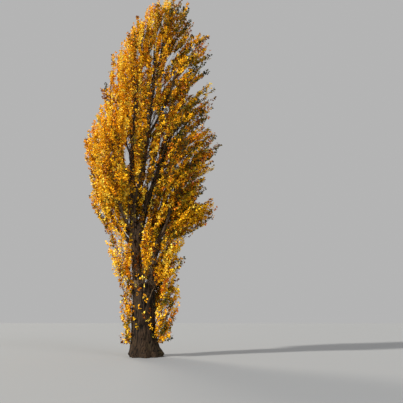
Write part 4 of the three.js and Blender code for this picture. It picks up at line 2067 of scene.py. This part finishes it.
class Region(Enum):
    """The parts of the crown, each with how much of every tint it adds, in the order of Tint; besides the
    autumn tints, the left parts add pale golds as painted sunlight, and the right parts, the right edge and
    the inside add olives, bronzes and dark greens as painted shade.
    """

    EVERYWHERE = (0.08, 0.28, 0.14, 0.02, 0.12, 0.12, 0.16, 0.06, 0.02)
    # Painted sunlight: pale golds on the left side, and more again low on the left, partly the autumn tint
    # there.
    LEFT = (0.62, 0.95, 0.34, 0.02, 0.14, 0.14, 0.06, 0.00, 0.00)
    LOWER_LEFT = (0.60, 0.60, 0.20, 0.00, 0.00, 0.00, 0.00, 0.00, 0.00)
    # Painted shade: olives and dark greens on the right side, fewer of them low down, partly the autumn tint
    # there.
    UPPER_RIGHT = (0.02, 0.12, 0.10, 0.03, 0.08, 0.15, 0.30, 0.23, 0.07)
    LOWER_RIGHT = (0.10, 0.34, 0.14, 0.03, 0.10, 0.12, 0.26, 0.08, 0.01)
    TOP = (0.16, 0.38, 0.24, 0.04, 0.18, 0.12, 0.10, 0.03, 0.01)
    FOOT = (0.20, 0.46, 0.22, 0.06, 0.10, 0.04, 0.08, 0.00, 0.00)
    # Painted shade: bronzes, olives and dark greens deep inside the crown.
    INSIDE = (0.00, 0.04, 0.04, 0.00, 0.12, 0.36, 0.14, 0.24, 0.22)
    # Painted shade: dark olives and greens at the right edge, partly the autumn tint there.
    RIGHT_EDGE = (0.00, 0.02, 0.02, 0.00, 0.08, 0.26, 0.26, 0.56, 0.50)


@dataclass
class Foliage:
    """Dresses twigs with leaves, in tints dealt out by spray, whose regions also paint sunlight on the
    crown's left and shade on its right and inside.

    Attributes:
        habit: How the leaves stand.
        region_seed: Which pattern the regions of like tint have.
        step: The distance between leaves along a twig.
        bare: The share of a twig at its foot that has no leaf.
        own_mind: The share of twigs whose tint has nothing to do with their plume's.
        parts: How much a twig's tint follows its plume, its region and its own chance.
        fiery: The share of plumes on the right that are orange all over.
    """

    crown: Crown
    rng: np.random.Generator
    shape: LeafShape = LeafShape()
    habit: LeafHabit = LeafHabit()
    region_seed: int = 41
    step: float = 0.040
    bare: float = 0.1
    own_mind: float = 0.10
    parts: tuple[float, float, float] = (0.88, 0.35, 0.38)
    fiery: float = 0.06

    def tint_weights(self, points: Array) -> Array:
        """How likely each tint is in each place.

        Args:
            points: Where the sprays are.

        Returns:
            Sprays by tints.
        """
        x, z = points[:, 0], points[:, 2]
        out = self.crown.outness(points)
        middle = np.interp(z, [0, 9, 21.4], [-0.2, -0.1, 0.6])
        left, right = ease(middle - x, 0.1, 1.4), ease(x - middle, 0.1, 1.5)
        top, low = ease(z, 15.5, 19.0), ease(7.0 - z, 0.0, 3.5)
        lower, high = ease(9.0 - z, 0.0, 2.0), ease(z, 11.0, 15.0)
        # Painted light and shade: the inside and the right edge get shaded tints and the left gets sunlit
        # ones; the inside's painted shade is weaker on the sunlit left.
        inside = ease(0.62 - out, 0.0, 0.35) * (1 - 0.6 * left)
        edge = ease(out, 0.82, 1.02)
        shares = {
            Region.LEFT: left * (1 - 0.4 * high),
            Region.LOWER_LEFT: left * lower,
            Region.UPPER_RIGHT: right * (1 - lower),
            Region.LOWER_RIGHT: right * lower,
            Region.TOP: top * (1 - 0.8 * right * edge),
            Region.FOOT: low,
            Region.INSIDE: inside,
            Region.RIGHT_EDGE: right * edge * (0.35 + 0.65 * ease(z, 7.5, 10.0)),
        }
        plain = np.array(Region.EVERYWHERE.value)
        added = (share[:, None] * np.array(region.value)[None] for region, share in shares.items())
        weights = plain[None] + sum(added)
        return weights / weights.sum(1, keepdims=True)

    def deal(self, twigs: Shoots) -> Array:
        """Deals a tint to each spray, alike in the sprays of one plume.

        Args:
            twigs: The twigs.

        Returns:
            The number of each twig's tint.
        """
        rng = self.rng
        place = twigs.paths[:, -1]
        total = self.tint_weights(place).cumsum(1)
        own = rng.normal(size=twigs.family.max() + 1)[twigs.family]
        region = ripple(place * [[1.0, 1.0, 0.3]], 1.5, self.region_seed)
        by_plume, by_region, by_chance = self.parts
        rank = own * by_plume + region * by_region + rng.normal(size=len(own)) * by_chance
        rank = 0.5 * (1 + np.tanh(0.8 * rank))
        rank = np.where(rng.random(len(rank)) < self.own_mind, rng.random(len(rank)), rank)
        tint = (rank[:, None] > total).sum(1).clip(0, len(TINTS) - 1)
        fiery = (rng.random(twigs.family.max() + 1) < self.fiery)[twigs.family]
        fiery &= (place[:, 0] > 0.2) & (rng.random(len(own)) < 0.8)
        return np.where(fiery, TINTS.index(Tint.ORANGE), tint)

    def dress(self, twigs: Shoots) -> None:
        """Lays the leaves of all twigs and hands in one piece a tint.

        Args:
            twigs: The twigs.
        """
        tint = self.deal(twigs)
        masses = [mass.name for mass in self.crown.masses]
        counts = np.maximum(2, np.round(twigs.lengths() / self.step).astype(int) + 1)
        number, order = numbered(counts)
        share = self.bare + (1 - self.bare) * (order + 1.0) / counts[number]
        point, heading, side, other = twigs.at(number, share)
        rng, habit = self.rng, self.habit
        size = len(number)
        turn = order * GOLDEN_ANGLE + rng.uniform(0, 2 * math.pi, len(counts))[number]
        turn += rng.normal(0, habit.turn_chance, size)
        aside = around(turn, side, other)
        last = (order == counts[number] - 1)[:, None]
        stalk = unit(np.where(last, heading, heading * habit.forward + aside) + UP * habit.lift)
        hang = rng.uniform(*habit.hang, size)[:, None]
        blade = stalk * (1 - hang * habit.off_stalk) - UP * hang * habit.down
        blade = unit(blade + rng.normal(0, habit.blade_chance, (size, 3)))
        face = aside * habit.face_aside + UP * habit.face_up
        face = unit(face + rng.normal(0, habit.face_chance, (size, 3)))
        scale = rng.uniform(*habit.size, size)
        for index, colour in enumerate(TINTS):
            chosen = tint[number] == index
            laid = self.shape.lay(point[chosen], stalk[chosen], blade[chosen], face[chosen], scale[chosen])
            finish = PlainFinish("leaf_" + colour.label, colour.value, habit.roughness, habit.gloss)
            piece = mesh_piece("leaves_" + colour.label, *laid, finish.material())
            hand_in(piece, masses)


@dataclass
class Brushwood:
    """Makes the leaders, rods, plumes and twigs into pieces."""

    masses: list[str]

    def build(self, leaders: Shoots, rods: Shoots, plumes: Shoots, twigs: Shoots) -> None:
        """Builds the pieces.

        Args:
            leaders: The leaders.
            rods: The rods.
            plumes: The plumes.
            twigs: The twigs.
        """
        sets = (
            ("leaders", leaders, 8, YoungBark("leader_bark")),
            ("rods", rods, 6, YoungBark("rod_bark")),
            ("plumes", plumes, 4, PlainFinish("branch_bark", 0x4A3A24, 0.8)),
            ("twigs", twigs, 3, PlainFinish("twig_bark", 0x5E4828, 0.75)),
        )
        for name, shoots, sides, finish in sets:
            piece = mesh_piece(name, *tubes(shoots.paths, shoots.radii, sides), finish.material())
            piece.data.polygons.foreach_set("use_smooth", np.full(len(piece.data.polygons), sides > 4))
            hand_in(piece, self.masses)


# Stage


@dataclass(frozen=True)
class Lamp:
    """A far, broad and soft light.

    Attributes:
        name: Its name.
        azimuth: The direction that it stands in, in degrees from the photograph's side towards the right.
        height: How high it stands, in degrees.
        strength: Its strength.
        breadth: How broad it is, in degrees.
        colour: Its colour.
    """

    name: str
    azimuth: float
    height: float
    strength: float
    breadth: float
    colour: Colour = (1.0, 1.0, 1.0)

    def hang(self) -> None:
        """Adds the light."""
        data = bpy.data.lights.new(self.name, "SUN")
        data.energy, data.color, data.angle = self.strength, self.colour, math.radians(self.breadth)
        lamp = bpy.data.objects.new(self.name, data)
        lamp.rotation_euler = (math.radians(90 - self.height), 0.0, math.radians(self.azimuth))
        bpy.context.scene.collection.objects.link(lamp)


@dataclass(frozen=True)
class Studio:
    """A plain pale floor under plain soft light."""

    floor_side: float = 3000.0
    floor_colour: int = 0x8E9196
    air_colour: int = 0xD6D6D6
    air_strength: float = 0.68
    lamps: tuple[Lamp, ...] = (
        Lamp("key", -58.0, 31.0, 5.0, 5.0, (1.0, 0.94, 0.82)),
        Lamp("fill", 40.0, 25.0, 0.80, 30.0, (0.95, 0.97, 1.0)),
        Lamp("rim", -150.0, 35.0, 1.6, 15.0, (1.0, 0.90, 0.74)),
    )

    def build(self) -> None:
        """Adds the floor, the lights and the air."""
        bpy.ops.object.select_all(action="DESELECT")
        bpy.ops.mesh.primitive_plane_add(size=self.floor_side)
        floor = bpy.context.object
        floor.name = "floor"
        floor.data.materials.append(PlainFinish("floor", self.floor_colour, 0.95, 0.1).material())
        for lamp in self.lamps:
            lamp.hang()
        world = bpy.data.worlds.new("air")
        world.use_nodes = True
        air = world.node_tree.nodes["Background"]
        air.inputs["Color"].default_value = (*linear(self.air_colour), 1.0)
        air.inputs["Strength"].default_value = self.air_strength
        bpy.context.scene.world = world
        bpy.context.scene.view_settings.view_transform = "Standard"


def main() -> None:
    """Loads the frame and builds the tree and its stage."""
    logging.basicConfig(level=logging.INFO, format="%(message)s")
    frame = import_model()
    eye = Eye()
    eye.camera()
    skeleton = Skeleton(frame["nodes"])
    skeleton.read()
    names = sorted(name for name in frame["nodes"] if name.startswith("foliage"))
    crown = Crown([Mass(name, frame["nodes"][name]) for name in names])
    crown.measure()
    Timber(skeleton).build()
    rng = np.random.default_rng(GROWTH_SEED)
    branching = Branching(skeleton, crown, eye, rng)
    leaders, rods, plumes = branching.grow()
    plumes, twigs = Twigging(skeleton, crown, eye, rng).grow(leaders, rods, plumes, branching.parents)
    twigs = joined([twigs, BarkShoots(skeleton, rng).grow(int(twigs.family.max()) + 1)])
    Brushwood(names).build(leaders, rods, plumes, twigs)
    Foliage(crown, rng).dress(twigs)
    Studio().build()


if __name__ == "__main__":
    main()
